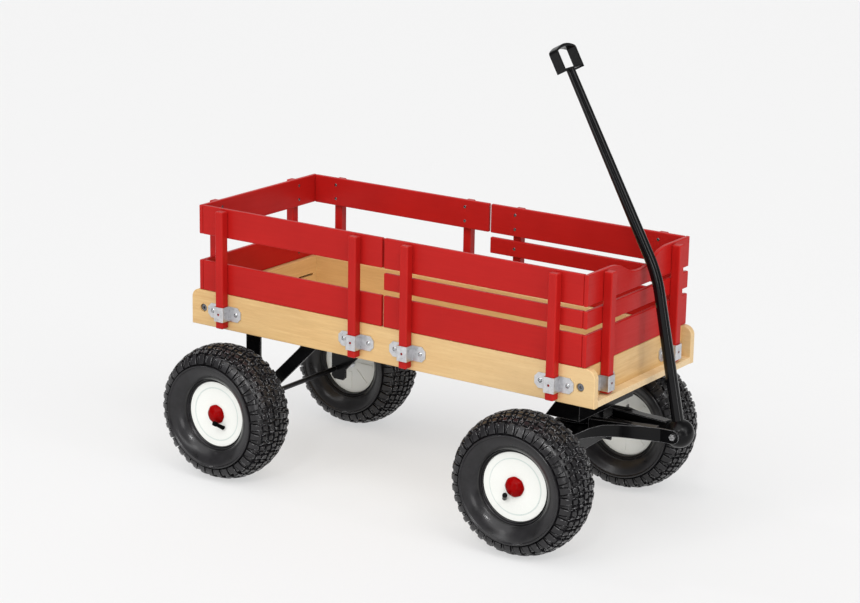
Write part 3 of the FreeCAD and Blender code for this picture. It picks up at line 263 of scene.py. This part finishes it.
def coated(name, colour, rough, coat, grain, relief, variation=0.25, shine=0.4, edge=None):
    """Paint, powder coat, enamel or moulded plastic: a fine texture under a clear coat.

    edge is a painted highlight colour, laid in patches along the edges where light catches them.
    """
    material, tree, shader = start_material(name, Specular_IOR_Level=shine, Coat_Weight=coat,
                                            Coat_Roughness=0.08)
    whole = local_coordinates(tree)
    clouds = noise(tree, whole, scale=30, detail=3)
    texture = noise(tree, whole, scale=grain, detail=3)
    tone = mix_colours(tree, spread(tree, clouds, low=0, high=1), [c * (1 - variation) for c in colour],
                       [min(1, c * (1 + variation)) for c in colour])
    # painted highlight: patches of a light colour along the edges, where light would catch them
    if edge:
        patchy = spread(tree, clouds, low=0.35, high=1.0)
        edge_highlight = compute(tree, "MULTIPLY", edge_mask(tree, HIGHLIGHT_EDGE), patchy)
        tone = mix_colours(tree, edge_highlight, tone, edge)
    link(tree, tone, shader, "Base Color")
    link(tree, spread(tree, texture, low=rough - 0.05, high=rough + 0.05), shader, "Roughness")
    bump(tree, shader, texture, strength=relief, distance=FINE_RELIEF)
    return material


# how much paler than the rubber its dust is
DUST_GAIN = 4.5
# light grey of the painted glints on the tread's edges
GLINT_GREY = (0.50, 0.50, 0.51)
TREAD_FADE = 3 * MM


def rubber(name, colour, rough, dust, tread_radius=None):
    """Moulded rubber: fine skin, patchy sheen and dust; light grey painted glints on the tread's edges.
    """
    material, tree, shader = start_material(name, Specular_IOR_Level=0.25, Coat_Weight=0.30,
                                            Coat_Roughness=0.17)
    whole = local_coordinates(tree)
    skin = noise(tree, whole, scale=1500, detail=3)
    clouds = noise(tree, whole, scale=45, detail=5, roughness=0.65)
    tone = mix_colours(tree, spread(tree, clouds, low=0, high=dust), colour,
                       [DUST_GAIN * c for c in colour])
    if tread_radius:
        # painted glints: sparse light grey flecks on the tread blocks' edges, standing in for highlights
        glint_spots = noise(tree, whole, scale=150, detail=2)
        flat = add(tree, "VectorMath", {0: whole, 1: (1, 0, 1)}, operation="MULTIPLY").outputs[0]
        reach = add(tree, "VectorMath", {0: flat}, operation="LENGTH").outputs["Value"]
        on_tread = spread(tree, reach, low=0, high=1, from_low=tread_radius - TREAD_FADE,
                          from_high=tread_radius + TREAD_FADE)
        patchy = spread(tree, glint_spots, low=0.02, high=1.0, from_low=0.53, from_high=0.62)
        edge_glints = compute(tree, "MULTIPLY", edge_mask(tree, WEAR_AND_GLINT_EDGE), patchy)
        edge_glints = compute(tree, "MULTIPLY", edge_glints, on_tread)
        tone = mix_colours(tree, edge_glints, tone, GLINT_GREY)
    link(tree, tone, shader, "Base Color")
    link(tree, spread(tree, clouds, low=rough - 0.07, high=rough + 0.08), shader, "Roughness")
    bump(tree, shader, skin, strength=0.10, distance=FINE_RELIEF)
    return material


# radius beyond which the tread's edges get painted glints
TREAD_GLINT_RADIUS = 110 * MM
# light grey of the black steel's painted edge highlights
BLACK_EDGE_HIGHLIGHT = (0.42, 0.42, 0.43)
LIGHT_BIRCH = (0.68, 0.455, 0.195)
DARK_BIRCH = (0.57, 0.335, 0.125)
PALE_BIRCH = (0.72, 0.53, 0.285)
side_birch = wood("birch_side", "x", LIGHT_BIRCH, DARK_BIRCH, PALE_BIRCH)
end_birch = wood("birch_end", "y", LIGHT_BIRCH, DARK_BIRCH)
floor_birch = ply("birch_floor", (0.84, 0.66, 0.40), (0.72, 0.50, 0.26))
red_side = red_paint("red_paint_side", "x")
red_end = red_paint("red_paint_end", "y")
red_post = red_paint("red_paint_post", "z")
finishes = {
    "zinc_steel": metal("zinc_plate", (0.60, 0.60, 0.615), rough=0.34, mottle=0.16, scale=120),
    "screw_steel": metal("screw_plate", (0.50, 0.51, 0.52), rough=0.24, mottle=0.10, scale=400),
    "dark_bolt_steel": metal("dark_bolt", (0.17, 0.175, 0.19), rough=0.22, mottle=0.25, scale=300),
    "axle_steel": metal("black_oxide", (0.06, 0.06, 0.065), rough=0.36, mottle=0.25, scale=200),
    "black_steel": coated("powder_black", (0.0030, 0.0030, 0.0034), rough=0.20, coat=0.06, grain=1800,
                          relief=0.05, variation=0.25, shine=0.15, edge=BLACK_EDGE_HIGHLIGHT),
    "gloss_black_steel": coated("gloss_black", (0.003, 0.003, 0.0035), rough=0.14, coat=0.10, grain=700,
                                relief=0.02, variation=0.25, shine=0.18),
    "tyre_rubber": rubber("tyre_rubber", (0.0060, 0.0056, 0.0064), rough=0.33, dust=0.40,
                          tread_radius=TREAD_GLINT_RADIUS),
    "valve_rubber": coated("valve_rubber", (0.0012, 0.0012, 0.0013), rough=0.30, coat=0.0, grain=1500,
                           relief=0.10, variation=0.25, shine=0.05),
    "white_enamel": coated("white_enamel", (0.83, 0.84, 0.80), rough=0.24, coat=0.3, grain=500,
                           relief=0.03, variation=0.01),
    "red_cap_plastic": coated("cap_red", (0.27, 0.0003, 0.0006), rough=0.26, coat=0.0, grain=600,
                              relief=0.03, variation=0.22, shine=0.06),
    "black_plastic": coated("plastic_black", (0.0032, 0.0032, 0.0036), rough=0.24, coat=0.0, grain=2200,
                            relief=0.05, variation=0.25, shine=0.15),
}
bright_bolt = metal("bright_bolt", (0.80, 0.80, 0.81), rough=0.26, mottle=0.12, scale=300)
node_slots = {row["node"]: row["material_slot"] for row in frame["record"]["subparts"]}


def finish_of(node):
    """The material for a CAD node, with its grain along the board it is on."""
    slot = node_slots[node]
    if node == "pivot_bolt":
        return bright_bolt
    if slot == "red_painted_wood":
        if node.endswith("_posts"):
            return red_post
        return red_end if "_end_" in node else red_side
    if slot == "birch_wood":
        return end_birch if node.startswith("end_board") else side_birch
    if slot == "birch_ply":
        return floor_birch
    return finishes[slot]


for node_name, node_object in frame["nodes"].items():
    node_object.data.materials.clear()
    node_object.data.materials.append(finish_of(node_name))


# --- mesh helpers ---

def new_piece(name, mesh, slot, body, place=None, sharp=35, finish=None):
    """Put a mesh in the scene, smooth but for its sharp edges, with a finish and the body it rides on."""
    mesh.materials.clear()
    mesh.materials.append(finish or finishes[slot])
    for face in mesh.polygons:
        face.use_smooth = True
    mesh.set_sharp_from_angle(angle=math.radians(sharp))
    piece = bpy.data.objects.new(name, mesh)
    bpy.context.scene.collection.objects.link(piece)
    if place is not None:
        piece.matrix_world = place
    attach(piece, body)
    return piece


def mesh_from(points, faces, name):
    """A checked mesh whose faces all look outward."""
    mesh = bpy.data.meshes.new(name)
    mesh.from_pydata(points, [], faces)
    mesh.validate()
    work = bmesh.new()
    work.from_mesh(mesh)
    bmesh.ops.recalc_face_normals(work, faces=work.faces)
    work.to_mesh(mesh)
    work.free()
    return mesh


def lathe(rings, steps, radius_scale=None):
    """Points and faces of a turned form about +Z from (radius, height) rings; radius 0 closes an end."""
    points = []
    faces = []
    rows = []
    for ring, (radius, height) in enumerate(rings):
        if radius == 0:
            rows.append([len(points)] * steps)
            points.append((0, 0, height))
            continue
        rows.append(list(range(len(points), len(points) + steps)))
        for step in range(steps):
            angle = 2 * math.pi * step / steps
            reach = radius * (radius_scale(angle, ring) if radius_scale else 1)
            points.append((reach * math.cos(angle), reach * math.sin(angle), height))
    for low, high in zip(rows, rows[1:]):
        for step in range(steps):
            following = (step + 1) % steps
            corners = [low[step], low[following], high[following], high[step]]
            faces.append([c for i, c in enumerate(corners) if c not in corners[:i]])
    return points, faces


def islands(node):
    """The separate solids of a CAD node, as (low corner, high corner) boxes."""
    mesh = frame["nodes"][node].data
    group = list(range(len(mesh.vertices)))

    def root(index):
        while group[index] != index:
            group[index] = group[group[index]]
            index = group[index]
        return index

    seen = {}
    for vertex in mesh.vertices:
        spot = tuple(round(c, 5) for c in vertex.co)
        group[root(vertex.index)] = root(seen.setdefault(spot, vertex.index))
    for edge in mesh.edges:
        group[root(edge.vertices[0])] = root(edge.vertices[1])
    boxes = {}
    for vertex in mesh.vertices:
        low, high = boxes.setdefault(root(vertex.index), (vertex.co.copy(), vertex.co.copy()))
        for axis in range(3):
            low[axis] = min(low[axis], vertex.co[axis])
            high[axis] = max(high[axis], vertex.co[axis])
    return list(boxes.values())


# --- tyres: a smooth sidewall with a rib, and two kinds of shoulder lug and tread block ---

PITCHES = 36
TREAD_DEPTH = 6.2 * MM
RIB_RADIUS = 100.5 * MM
tyre_low, tyre_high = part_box("front_left_tyre")
WHEEL_RADIUS = (tyre_high.z - tyre_low.z) / 2


def arc_points(start, end, radius, count):
    """Points on an arc that bulges outboard and outward between two (radius, y) points."""
    (r0, y0), (r1, y1) = start, end
    chord = math.hypot(r1 - r0, y1 - y0)
    rise = math.sqrt(radius * radius - chord * chord / 4)
    along = ((r1 - r0) / chord, (y1 - y0) / chord)
    centre = ((r0 + r1) / 2 - along[1] * rise, (y0 + y1) / 2 + along[0] * rise)
    first = math.atan2(y0 - centre[1], r0 - centre[0])
    last = math.atan2(y1 - centre[1], r1 - centre[0])
    points = []
    for step in range(count + 1):
        angle = first + (last - first) * step / count
        points.append((centre[0] + radius * math.cos(angle), centre[1] + radius * math.sin(angle)))
    return points


# the tyre's outer line: its corners as (radius, y), the arcs between them and their divisions
BEAD = (66 * MM, 29 * MM)
WIDEST = (100 * MM, 52.4 * MM)
SHOULDER = (122 * MM, 42.7 * MM)
WALL_ARC = 44 * MM
SIDE_ARC = 34 * MM
CROWN_RISE = WHEEL_RADIUS - SHOULDER[0]
CROWN_ARC = (SHOULDER[1] ** 2 + CROWN_RISE ** 2) / (2 * CROWN_RISE)
WALL_STEPS = 24
SIDE_STEPS = 14
CROWN_STEPS = 16


def half_envelope():
    """One half of the tyre's outer line, from a bead to the crown, as (radius, y) points."""
    wall = arc_points(WIDEST, BEAD, WALL_ARC, WALL_STEPS)[::-1]
    side = arc_points(SHOULDER, WIDEST, SIDE_ARC, SIDE_STEPS)[::-1][1:]
    crown = arc_points((WHEEL_RADIUS, 0), SHOULDER, CROWN_ARC, CROWN_STEPS)[::-1][1:]
    return wall + side + crown


half_line = half_envelope()
full_line = half_line + [(r, -y) for r, y in half_line[-2::-1]]
lengths = [0.0]
for (r0, y0), (r1, y1) in zip(full_line, full_line[1:]):
    lengths.append(lengths[-1] + math.hypot(r1 - r0, y1 - y0))
MIDDLE = lengths[-1] / 2


def line_at(distance):
    """(radius, y) and outward direction on the tyre's line, at a distance from its crown."""
    reach = MIDDLE - distance
    index = 0
    while index < len(lengths) - 2 and lengths[index + 1] < reach:
        index += 1
    share = (reach - lengths[index]) / (lengths[index + 1] - lengths[index])
    (r0, y0), (r1, y1) = full_line[index], full_line[index + 1]
    tangent = Vector((r1 - r0, y1 - y0)).normalized()
    return r0 + (r1 - r0) * share, y0 + (y1 - y0) * share, (-tangent.y, tangent.x)


HALVINGS = 40


def distance_of(radius):
    """How far from the crown the tyre's line reaches a radius beyond its widest point."""
    low = 0.0
    high = MIDDLE - lengths[WALL_STEPS]
    for _ in range(HALVINGS):
        middle = (low + high) / 2
        if line_at(middle)[0] > radius:
            low = middle
        else:
            high = middle
    return low


def tyre_point(distance, angle, offset):
    """The place round the tyre at a distance from the crown line, offset outward."""
    radius, y, (out_r, out_y) = line_at(distance)
    radius += out_r * offset
    y += out_y * offset
    return (radius * math.sin(angle), y, radius * math.cos(angle))


# a block's rounded top edge, and the least that a taper leaves of its top
BLOCK_BEVEL = 0.6 * MM
LEAST_SHARE = 0.1


def block(points, faces, corners, turn, top, base, taper, divide):
    """A tread block on the tyre's line, from four (distance, angle) corners, tapered to its top.

    top and base are heights over the line, and divide is how many parts its top has across and around.
    """
    across, around = divide
    middle_s = sum(c[0] for c in corners) / 4
    middle_a = sum(c[1] for c in corners) / 4
    radius = line_at(middle_s)[0]

    def spot(u, v, inset):
        (s0, a0), (s1, a1), (s2, a2), (s3, a3) = corners
        s = (1 - v) * ((1 - u) * s0 + u * s1) + v * ((1 - u) * s3 + u * s2)
        a = (1 - v) * ((1 - u) * a0 + u * a1) + v * ((1 - u) * a3 + u * a2)
        reach_s = max(abs(c[0] - middle_s) for c in corners)
        reach_a = max(abs(c[1] - middle_a) for c in corners)
        s = middle_s + (s - middle_s) * max(LEAST_SHARE, 1 - inset / reach_s)
        a = middle_a + (a - middle_a) * max(LEAST_SHARE, 1 - inset / (radius * reach_a))
        return s, a

    first = len(points)
    for row in range(around + 1):
        for column in range(across + 1):
            s, a = spot(column / across, row / around, taper + BLOCK_BEVEL)
            points.append(tyre_point(s, a + turn, top))
    width = across + 1
    for row in range(around):
        for column in range(across):
            corner = first + row * width + column
            faces.append([corner, corner + 1, corner + 1 + width, corner + width])
    rim = [(c, 0) for c in range(across + 1)]
    rim += [(across, r) for r in range(1, around + 1)]
    rim += [(c, around) for c in range(across - 1, -1, -1)]
    rim += [(0, r) for r in range(around - 1, 0, -1)]
    loops = [[first + row * width + column for column, row in rim]]
    for offset, inset in ((top - BLOCK_BEVEL, taper), (base, 0)):
        start = len(points)
        for column, row in rim:
            s, a = spot(column / across, row / around, inset)
            points.append(tyre_point(s, a + turn, offset))
        loops.append(list(range(start, start + len(rim))))
    for high, low in zip(loops, loops[1:]):
        for i in range(len(rim)):
            j = (i + 1) % len(rim)
            faces.append([high[i], high[j], low[j], low[i]])


# two rings round the bead as (radius, y) in mm
BEAD_RINGS = ((64.6, 24.0), (64.4, 27.6), (65.2, 29.6), (66.2, 30.2), (67.0, 29.7), (67.4, 29.0),
              (67.9, 29.7), (68.6, 31.6), (69.4, 32.4), (70.2, 32.2), (70.8, 31.8), (71.4, 32.6))
# the sidewall's rib as (distance from its middle, height) in mm
RIB_SHAPE = ((3.4, 0.0), (2.8, 0.4), (2.0, 1.6), (1.0, 2.5), (-0.2, 2.7), (-1.2, 1.8), (-1.9, -1.0),
             (-2.6, -3.4), (-4.4, -4.6))
WALL_START = 72 * MM
UNDER_TREAD_START = 7 * MM
UNDER_TREAD_STEPS = 12


def carcass(points, faces, steps=144):
    """The smooth casing under the tread, with two bead rings and the sidewall's rib."""
    rib = distance_of(RIB_RADIUS)
    section = [(r * MM, y * MM) for r, y in BEAD_RINGS]
    wall = [p for p in half_line[:WALL_STEPS + 1] if p[0] > WALL_START]
    section += wall[:-1]
    for along, height in RIB_SHAPE:
        radius, y, (out_r, out_y) = line_at(rib + along * MM)
        section.append((radius + out_r * height * MM, y + out_y * height * MM))
    inner = rib - UNDER_TREAD_START
    for step in range(UNDER_TREAD_STEPS + 1):
        distance = inner * (1 - step / UNDER_TREAD_STEPS)
        radius, y, (out_r, out_y) = line_at(distance)
        section.append((radius - out_r * TREAD_DEPTH, y - out_y * TREAD_DEPTH))
    whole = section + [(r, -y) for r, y in section[-2::-1]]
    first = len(points)
    for radius, y in whole:
        for step in range(steps):
            angle = 2 * math.pi * step / steps
            points.append((radius * math.sin(angle), y, radius * math.cos(angle)))
    for row in range(len(whole) - 1):
        for step in range(steps):
            following = (step + 1) % steps
            low = first + row * steps
            faces.append([low + step, low + following, low + steps + following, low + steps + step])
    last = first + (len(whole) - 1) * steps
    for step in range(steps):
        following = (step + 1) % steps
        faces.append([last + step, last + following, first + following, first + step])


# the crown's knobs: corners as (distance from the crown line in mm, share of a pitch), top's height in mm
KNOBS = (
    (((40.0, -0.34), (41.0, 0.12), (30.5, 0.20), (29.0, -0.24)), 0.0),
    (((38.0, 0.30), (36.5, 0.58), (27.5, 0.54), (29.5, 0.32)), -1.0),
    (((25.5, -0.34), (27.0, 0.14), (16.5, 0.24), (15.0, -0.22)), 0.0),
    (((24.5, 0.34), (23.0, 0.60), (14.5, 0.56), (16.5, 0.34)), -0.8),
    (((12.0, -0.14), (13.0, 0.36), (2.6, 0.42), (1.6, -0.06)), 0.0),
    (((11.0, 0.52), (10.0, 0.80), (1.4, 0.74), (2.6, 0.52)), -0.8),
)
KNOB_TAPER = 0.9 * MM
LUG_START = 3.4 * MM
LUG_END_RADIUS = 118 * MM
ROOT_DEPTH = TREAD_DEPTH + 0.6 * MM


def shoulder_lugs():
    """The wide lug and the wedge at the shoulder: corners, top, taper and divisions.

    A corner is (distance from the crown line, share of a pitch).
    """
    rib = distance_of(RIB_RADIUS) - LUG_START
    edge = distance_of(LUG_END_RADIUS)
    wide = [(rib, -0.38), (rib, 0.38), (edge - 6 * MM, 0.22), (edge - 6 * MM, -0.24)]
    wedge = [(rib - 1 * MM, 0.46), (rib - 1 * MM, 0.54), (edge - 2 * MM, 0.70), (edge - 2 * MM, 0.30)]
    return [(wide, 0.6 * MM, 0.7 * MM, (3, 6)), (wedge, -1.2 * MM, 0.5 * MM, (2, 5))]


def tread(points, faces):
    """All the lugs of a tyre, the same in each pitch."""
    pitch = 2 * math.pi / PITCHES
    lugs = shoulder_lugs()
    for corners, top in KNOBS:
        lugs.append(([(s * MM, a) for s, a in corners], top * MM, KNOB_TAPER, (3, 2)))
    for number in range(PITCHES):
        for side in (1, -1):
            turn = number * pitch + (0 if side > 0 else pitch / 2)
            for corners, top, taper, divide in lugs:
                placed = [(s * side, a * pitch) for s, a in corners]
                block(points, faces, placed, turn, top, -ROOT_DEPTH, taper, divide)


tyre_points = []
tyre_faces = []
carcass(tyre_points, tyre_faces)
tread(tyre_points, tyre_faces)
tyre_mesh = mesh_from(tyre_points, tyre_faces, "lugged_tyre")


# --- hub caps: an eight-sided push cap with a domed crown ---

# how eight-sided each ring of the cap is, from its skirt to its crown
CAP_SIDED = (0.45, 0.45, 0.45, 0.45, 0.4, 0.3, 0.15, 0.1, 0, 0)


def cap_shape(angle, ring):
    """How far the cap's outline stands from a circle: eight soft sides at the skirt, round at the top."""
    eighth = math.pi / 4
    side = math.cos(eighth / 2) / math.cos((angle % eighth) - eighth / 2)
    return 1 - CAP_SIDED[ring] * (1 - side)


RIM_FACE = 27.9 * MM
# the cap's outline as (radius, height over the rim's face) in mm
CAP_RINGS = ((19.0, 0.0), (19.3, 1.0), (19.3, 2.4), (18.7, 3.4), (17.2, 5.6), (14.6, 8.2), (11.0, 10.6),
             (7.4, 12.2), (3.8, 13.1), (0, 13.4))
CAP_STEPS = 64
cap_points, cap_faces = lathe([(r * MM, h * MM) for r, h in CAP_RINGS], CAP_STEPS, cap_shape)
cap_mesh = mesh_from(cap_points, cap_faces, "hub_cap")

# a thin grey-green ring laid in the rim face's groove as painted shade along the groove: its section as
# (radius, height) in mm
RING_SECTION = ((51.3, -0.5), (51.3, 0.08), (51.8, 0.2), (53.0, 0.2), (53.5, 0.08), (53.5, -0.5),
                (51.3, -0.5))
RING_STEPS = 96
ring_points, ring_faces = lathe([(r * MM, h * MM) for r, h in RING_SECTION], RING_STEPS)
groove_shade_mesh = mesh_from(ring_points, ring_faces, "rim_groove_shade")
# grey-green enamel of the groove ring: painted shade along the groove
groove_shade_enamel = coated("groove_shade_enamel", (0.62, 0.68, 0.645), rough=0.3, coat=0.2, grain=500, relief=0.03,
                     variation=0.02)


def wheel_frame(wheel):
    """A wheel's middle and its outboard direction."""
    low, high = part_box(wheel + "_tyre")
    middle = (low + high) / 2
    cap_low, cap_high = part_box(wheel + "_hub_cap")
    return middle, (cap_low + cap_high) / 2 - middle


for wheel in WHEELS:
    middle, outboard = wheel_frame(wheel)
    heading = math.atan2(outboard.y, outboard.x) - math.pi / 2
    body = wheel + "_wheel"
    place = Matrix.Translation(middle) @ Matrix.Rotation(heading, 4, "Z")
    tyre = new_piece(wheel + "_lugged_tyre", tyre_mesh, "tyre_rubber", body, place, sharp=30)
    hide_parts(wheel + "_tyre")
    cap_place = place @ Matrix.Translation((0, RIM_FACE, 0)) @ Matrix.Rotation(-math.pi / 2, 4, "X")
    cap = new_piece(wheel + "_push_cap", cap_mesh, "red_cap_plastic", body, cap_place, sharp=40)
    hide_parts(wheel + "_hub_cap")
    new_piece(wheel + "_rim_groove_shade", groove_shade_mesh, "white_enamel", body, cap_place, sharp=40,
              finish=groove_shade_enamel)


# --- screws ---

SCREW_ROWS = 9
SCREW_STEPS = 40
# a head's dome falls by this share of its height at the rim, along this power of the radius
DOME_FALL = 0.92
DOME_POWER = 2.6
# the cross recess, as shares of the head's radius, and how much shallower it is at the rim
SLOT_HALF_WIDTH = 0.16
SLOT_REACH = 0.60
SLOT_RISE = 0.5
SKIRT = 0.2 * MM


def cross_screw(radius, height, recess):
    """A screw head about +Z with a cross recess: points and faces."""
    rows = SCREW_ROWS
    steps = SCREW_STEPS
    points = [(0, 0, height - recess)]
    faces = []
    for row in range(1, rows + 1):
        share = row / rows
        for step in range(steps):
            angle = 2 * math.pi * step / steps
            x = radius * share * math.cos(angle)
            y = radius * share * math.sin(angle)
            dome = height * math.sqrt(max(0.0, 1 - DOME_FALL * share ** DOME_POWER))
            across = min(abs(x), abs(y))
            along = max(abs(x), abs(y))
            in_cross = across < radius * SLOT_HALF_WIDTH and along < radius * SLOT_REACH
            points.append((x, y, dome - (recess * (1 - SLOT_RISE * share) if in_cross else 0)))
    for step in range(steps):
        faces.append([0, 1 + step, 1 + (step + 1) % steps])
    for row in range(rows - 1):
        for step in range(steps):
            following = (step + 1) % steps
            low = 1 + row * steps
            faces.append([low + step, low + following, low + steps + following, low + steps + step])
    rim = 1 + (rows - 1) * steps
    skirt = len(points)
    for step in range(steps):
        x, y, _ = points[rim + step]
        points.append((x, y, -SKIRT))
    for step in range(steps):
        following = (step + 1) % steps
        faces.append([rim + step, rim + following, skirt + following, skirt + step])
    return points, faces


def scatter(form, places):
    """Copies of one form at many places, as one list of points and faces."""
    points = []
    faces = []
    for place in places:
        first = len(points)
        points += [tuple(place @ Vector(p)) for p in form[0]]
        faces += [[first + i for i in face] for face in form[1]]
    return points, faces


def facing_place(spot, direction, spin=0.0):
    """A place whose +Z looks along a direction."""
    turn = Vector(direction).to_track_quat("Z", "Y").to_matrix().to_4x4()
    return Matrix.Translation(spot) @ turn @ Matrix.Rotation(spin, 4, "Z")


bed_low, bed_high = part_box("bed_floor")
bed_middle = (bed_low + bed_high) / 2
HEAD_HEIGHT = 2.3 * MM
head = cross_screw(radius=4.4 * MM, height=HEAD_HEIGHT, recess=1.5 * MM)
places = []
for number, (low, high) in enumerate(islands("bracket_screws")):
    spot = (low + high) / 2
    size = high - low
    if size.y > size.x:
        direction = Vector((0, math.copysign(1, spot.y), 0))
        spot.y = (high.y if spot.y > 0 else low.y) - direction.y * HEAD_HEIGHT
    else:
        direction = Vector((math.copysign(1, spot.x - bed_middle.x), 0, 0))
        spot.x = (high.x if direction.x > 0 else low.x) - direction.x * HEAD_HEIGHT
    # each screw stopped at its own angle
    places.append(facing_place(spot, direction, spin=0.3 + 0.7 * number))
screw_points, screw_faces = scatter(head, places)
screw_mesh = mesh_from(screw_points, screw_faces, "bracket_screw_heads")
bracket_heads = new_piece("bracket_screw_heads", screw_mesh, "screw_steel", "bed")
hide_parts("bracket_screws")

# a slat over this width has two screws to a post, a quarter of the width from each edge
WIDE_SLAT = 45 * MM
slat_head = cross_screw(radius=3.0 * MM, height=0.8 * MM, recess=0.7 * MM)
for panel in PANELS:
    places = []
    at_end = panel.endswith("_end")
    across = 0 if at_end else 1
    for level in ("bottom", "middle", "top"):
        slat = panel + "_slat_" + level
        if slat not in frame["nodes"]:
            continue
        low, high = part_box(slat)
        middle = (low + high) / 2
        inward = -math.copysign(1, middle[across] - (bed_middle.x if at_end else 0))
        inner_face = high[across] if inward > 0 else low[across]
        width = high.z - low.z
        heights = (low.z + 0.25 * width, low.z + 0.75 * width) if width > WIDE_SLAT else (middle.z,)
        for post_low, post_high in islands(panel + "_posts"):
            post = (post_low + post_high) / 2
            for height in heights:
                spot = Vector((post.x, post.y, height))
                spot[across] = inner_face
                direction = Vector((0, 0, 0))
                direction[across] = inward
                places.append(facing_place(spot, direction, spin=0.5 + 1.3 * len(places)))
    screw_points, screw_faces = scatter(slat_head, places)
    screw_mesh = mesh_from(screw_points, screw_faces, panel + "_slat_screws")
    new_piece(panel + "_slat_screws", screw_mesh, "dark_bolt_steel", panel + "_panel")


# --- floor, camera and light ---

FLOOR_HALF = 40.0
FLOOR_GREY = (0.80, 0.80, 0.80, 1)
FLOOR_GLOW = 0.92
GLOW_SHARE = 0.60
WORLD_STRENGTH = 0.28


def make_floor():
    """A pale studio floor that glows a little, so that it stays as even as the photo's."""
    mesh = bpy.data.meshes.new("studio_floor")
    corners = [(x * FLOOR_HALF, y * FLOOR_HALF, 0) for x, y in ((-1, -1), (1, -1), (1, 1), (-1, 1))]
    mesh.from_pydata(corners, [], [(0, 1, 2, 3)])
    floor = bpy.data.objects.new("studio_floor", mesh)
    bpy.context.scene.collection.objects.link(floor)
    material = bpy.data.materials.new("studio_floor")
    material.use_nodes = True
    tree = material.node_tree
    tree.nodes.clear()
    matte = add(tree, "BsdfDiffuse", {"Color": FLOOR_GREY})
    glow = add(tree, "Emission", {"Color": (1, 1, 1, 1), "Strength": FLOOR_GLOW})
    both = add(tree, "MixShader", {0: GLOW_SHARE, 1: matte.outputs[0], 2: glow.outputs[0]})
    add(tree, "OutputMaterial", {"Surface": both.outputs[0]})
    mesh.materials.append(material)


make_floor()

# the photo's camera, solved from the wagon's outlines
AZIMUTH = math.radians(34.316)
LOOK_DOWN = math.radians(15.295)
ROLL = math.radians(0.988)
FOCAL = 98.69
SENSOR_WIDTH = 36
SHIFT_X = 0.0028
SHIFT_Y = 0.0005
FAR_CLIP = 100
CAMERA_PLACE = Vector((2.39779, -3.6006, 1.5525))
right = Vector((math.cos(AZIMUTH), math.sin(AZIMUTH), 0))
forward = Vector((-math.sin(AZIMUTH) * math.cos(LOOK_DOWN), math.cos(AZIMUTH) * math.cos(LOOK_DOWN),
                  -math.sin(LOOK_DOWN)))
up = right.cross(forward)
tilted_right = right * math.cos(ROLL) + up * math.sin(ROLL)
tilted_up = up * math.cos(ROLL) - right * math.sin(ROLL)
view = Matrix((tilted_right, tilted_up, -forward)).transposed().to_4x4()
lens = bpy.data.cameras.new("camera")
lens.sensor_width = SENSOR_WIDTH
lens.lens = FOCAL
lens.shift_x = SHIFT_X
lens.shift_y = SHIFT_Y
lens.clip_end = FAR_CLIP
camera = bpy.data.objects.new("camera", lens)
camera.matrix_world = Matrix.Translation(CAMERA_PLACE) @ view
bpy.context.scene.collection.objects.link(camera)
bpy.context.scene.camera = camera


def add_sun(name, direction, strength, angle):
    """A distant soft light that shines from a direction."""
    light = bpy.data.lights.new(name, "SUN")
    light.energy = strength
    light.angle = math.radians(angle)
    lamp = bpy.data.objects.new(name, light)
    lamp.matrix_world = facing_place((0, 0, 3), direction)
    bpy.context.scene.collection.objects.link(lamp)


def add_strip(name, spot, power, width, height):
    """A tall softbox that faces the wagon's middle and draws long highlights on the black parts."""
    light = bpy.data.lights.new(name, "AREA")
    light.shape = "RECTANGLE"
    light.size = width
    light.size_y = height
    light.energy = power
    lamp = bpy.data.objects.new(name, light)
    lamp.matrix_world = facing_place(spot, (spot[0], spot[1], 0))
    lamp.visible_camera = False
    bpy.context.scene.collection.objects.link(lamp)


add_sun("key", (0.70, -0.44, 0.85), strength=0.62, angle=20)
add_sun("low_fill", (0.50, -0.86, 0.12), strength=0.30, angle=16)
add_sun("end_fill", (0.95, -0.10, 0.75), strength=0.52, angle=40)
add_sun("overhead", (0.0, -0.66, 1.0), strength=1.40, angle=60)
add_sun("sparkle", (0.30, -0.76, 0.62), strength=0.48, angle=6)
add_sun("back_sparkle", (-0.75, -0.10, 0.80), strength=0.16, angle=5)
add_sun("back", (-0.55, 0.75, 0.55), strength=0.45, angle=60)
add_strip("strip_left", (-0.9, -3.6, 1.5), power=22, width=0.4, height=3.0)
add_strip("strip_right", (3.6, -0.4, 1.5), power=22, width=0.5, height=3.0)
world = bpy.data.worlds.new("studio")
bpy.context.scene.world = world
world.use_nodes = True
background = world.node_tree.nodes["Background"]
background.inputs["Color"].default_value = (1, 1, 1, 1)
background.inputs["Strength"].default_value = WORLD_STRENGTH
bpy.context.scene.view_settings.view_transform = "Standard"
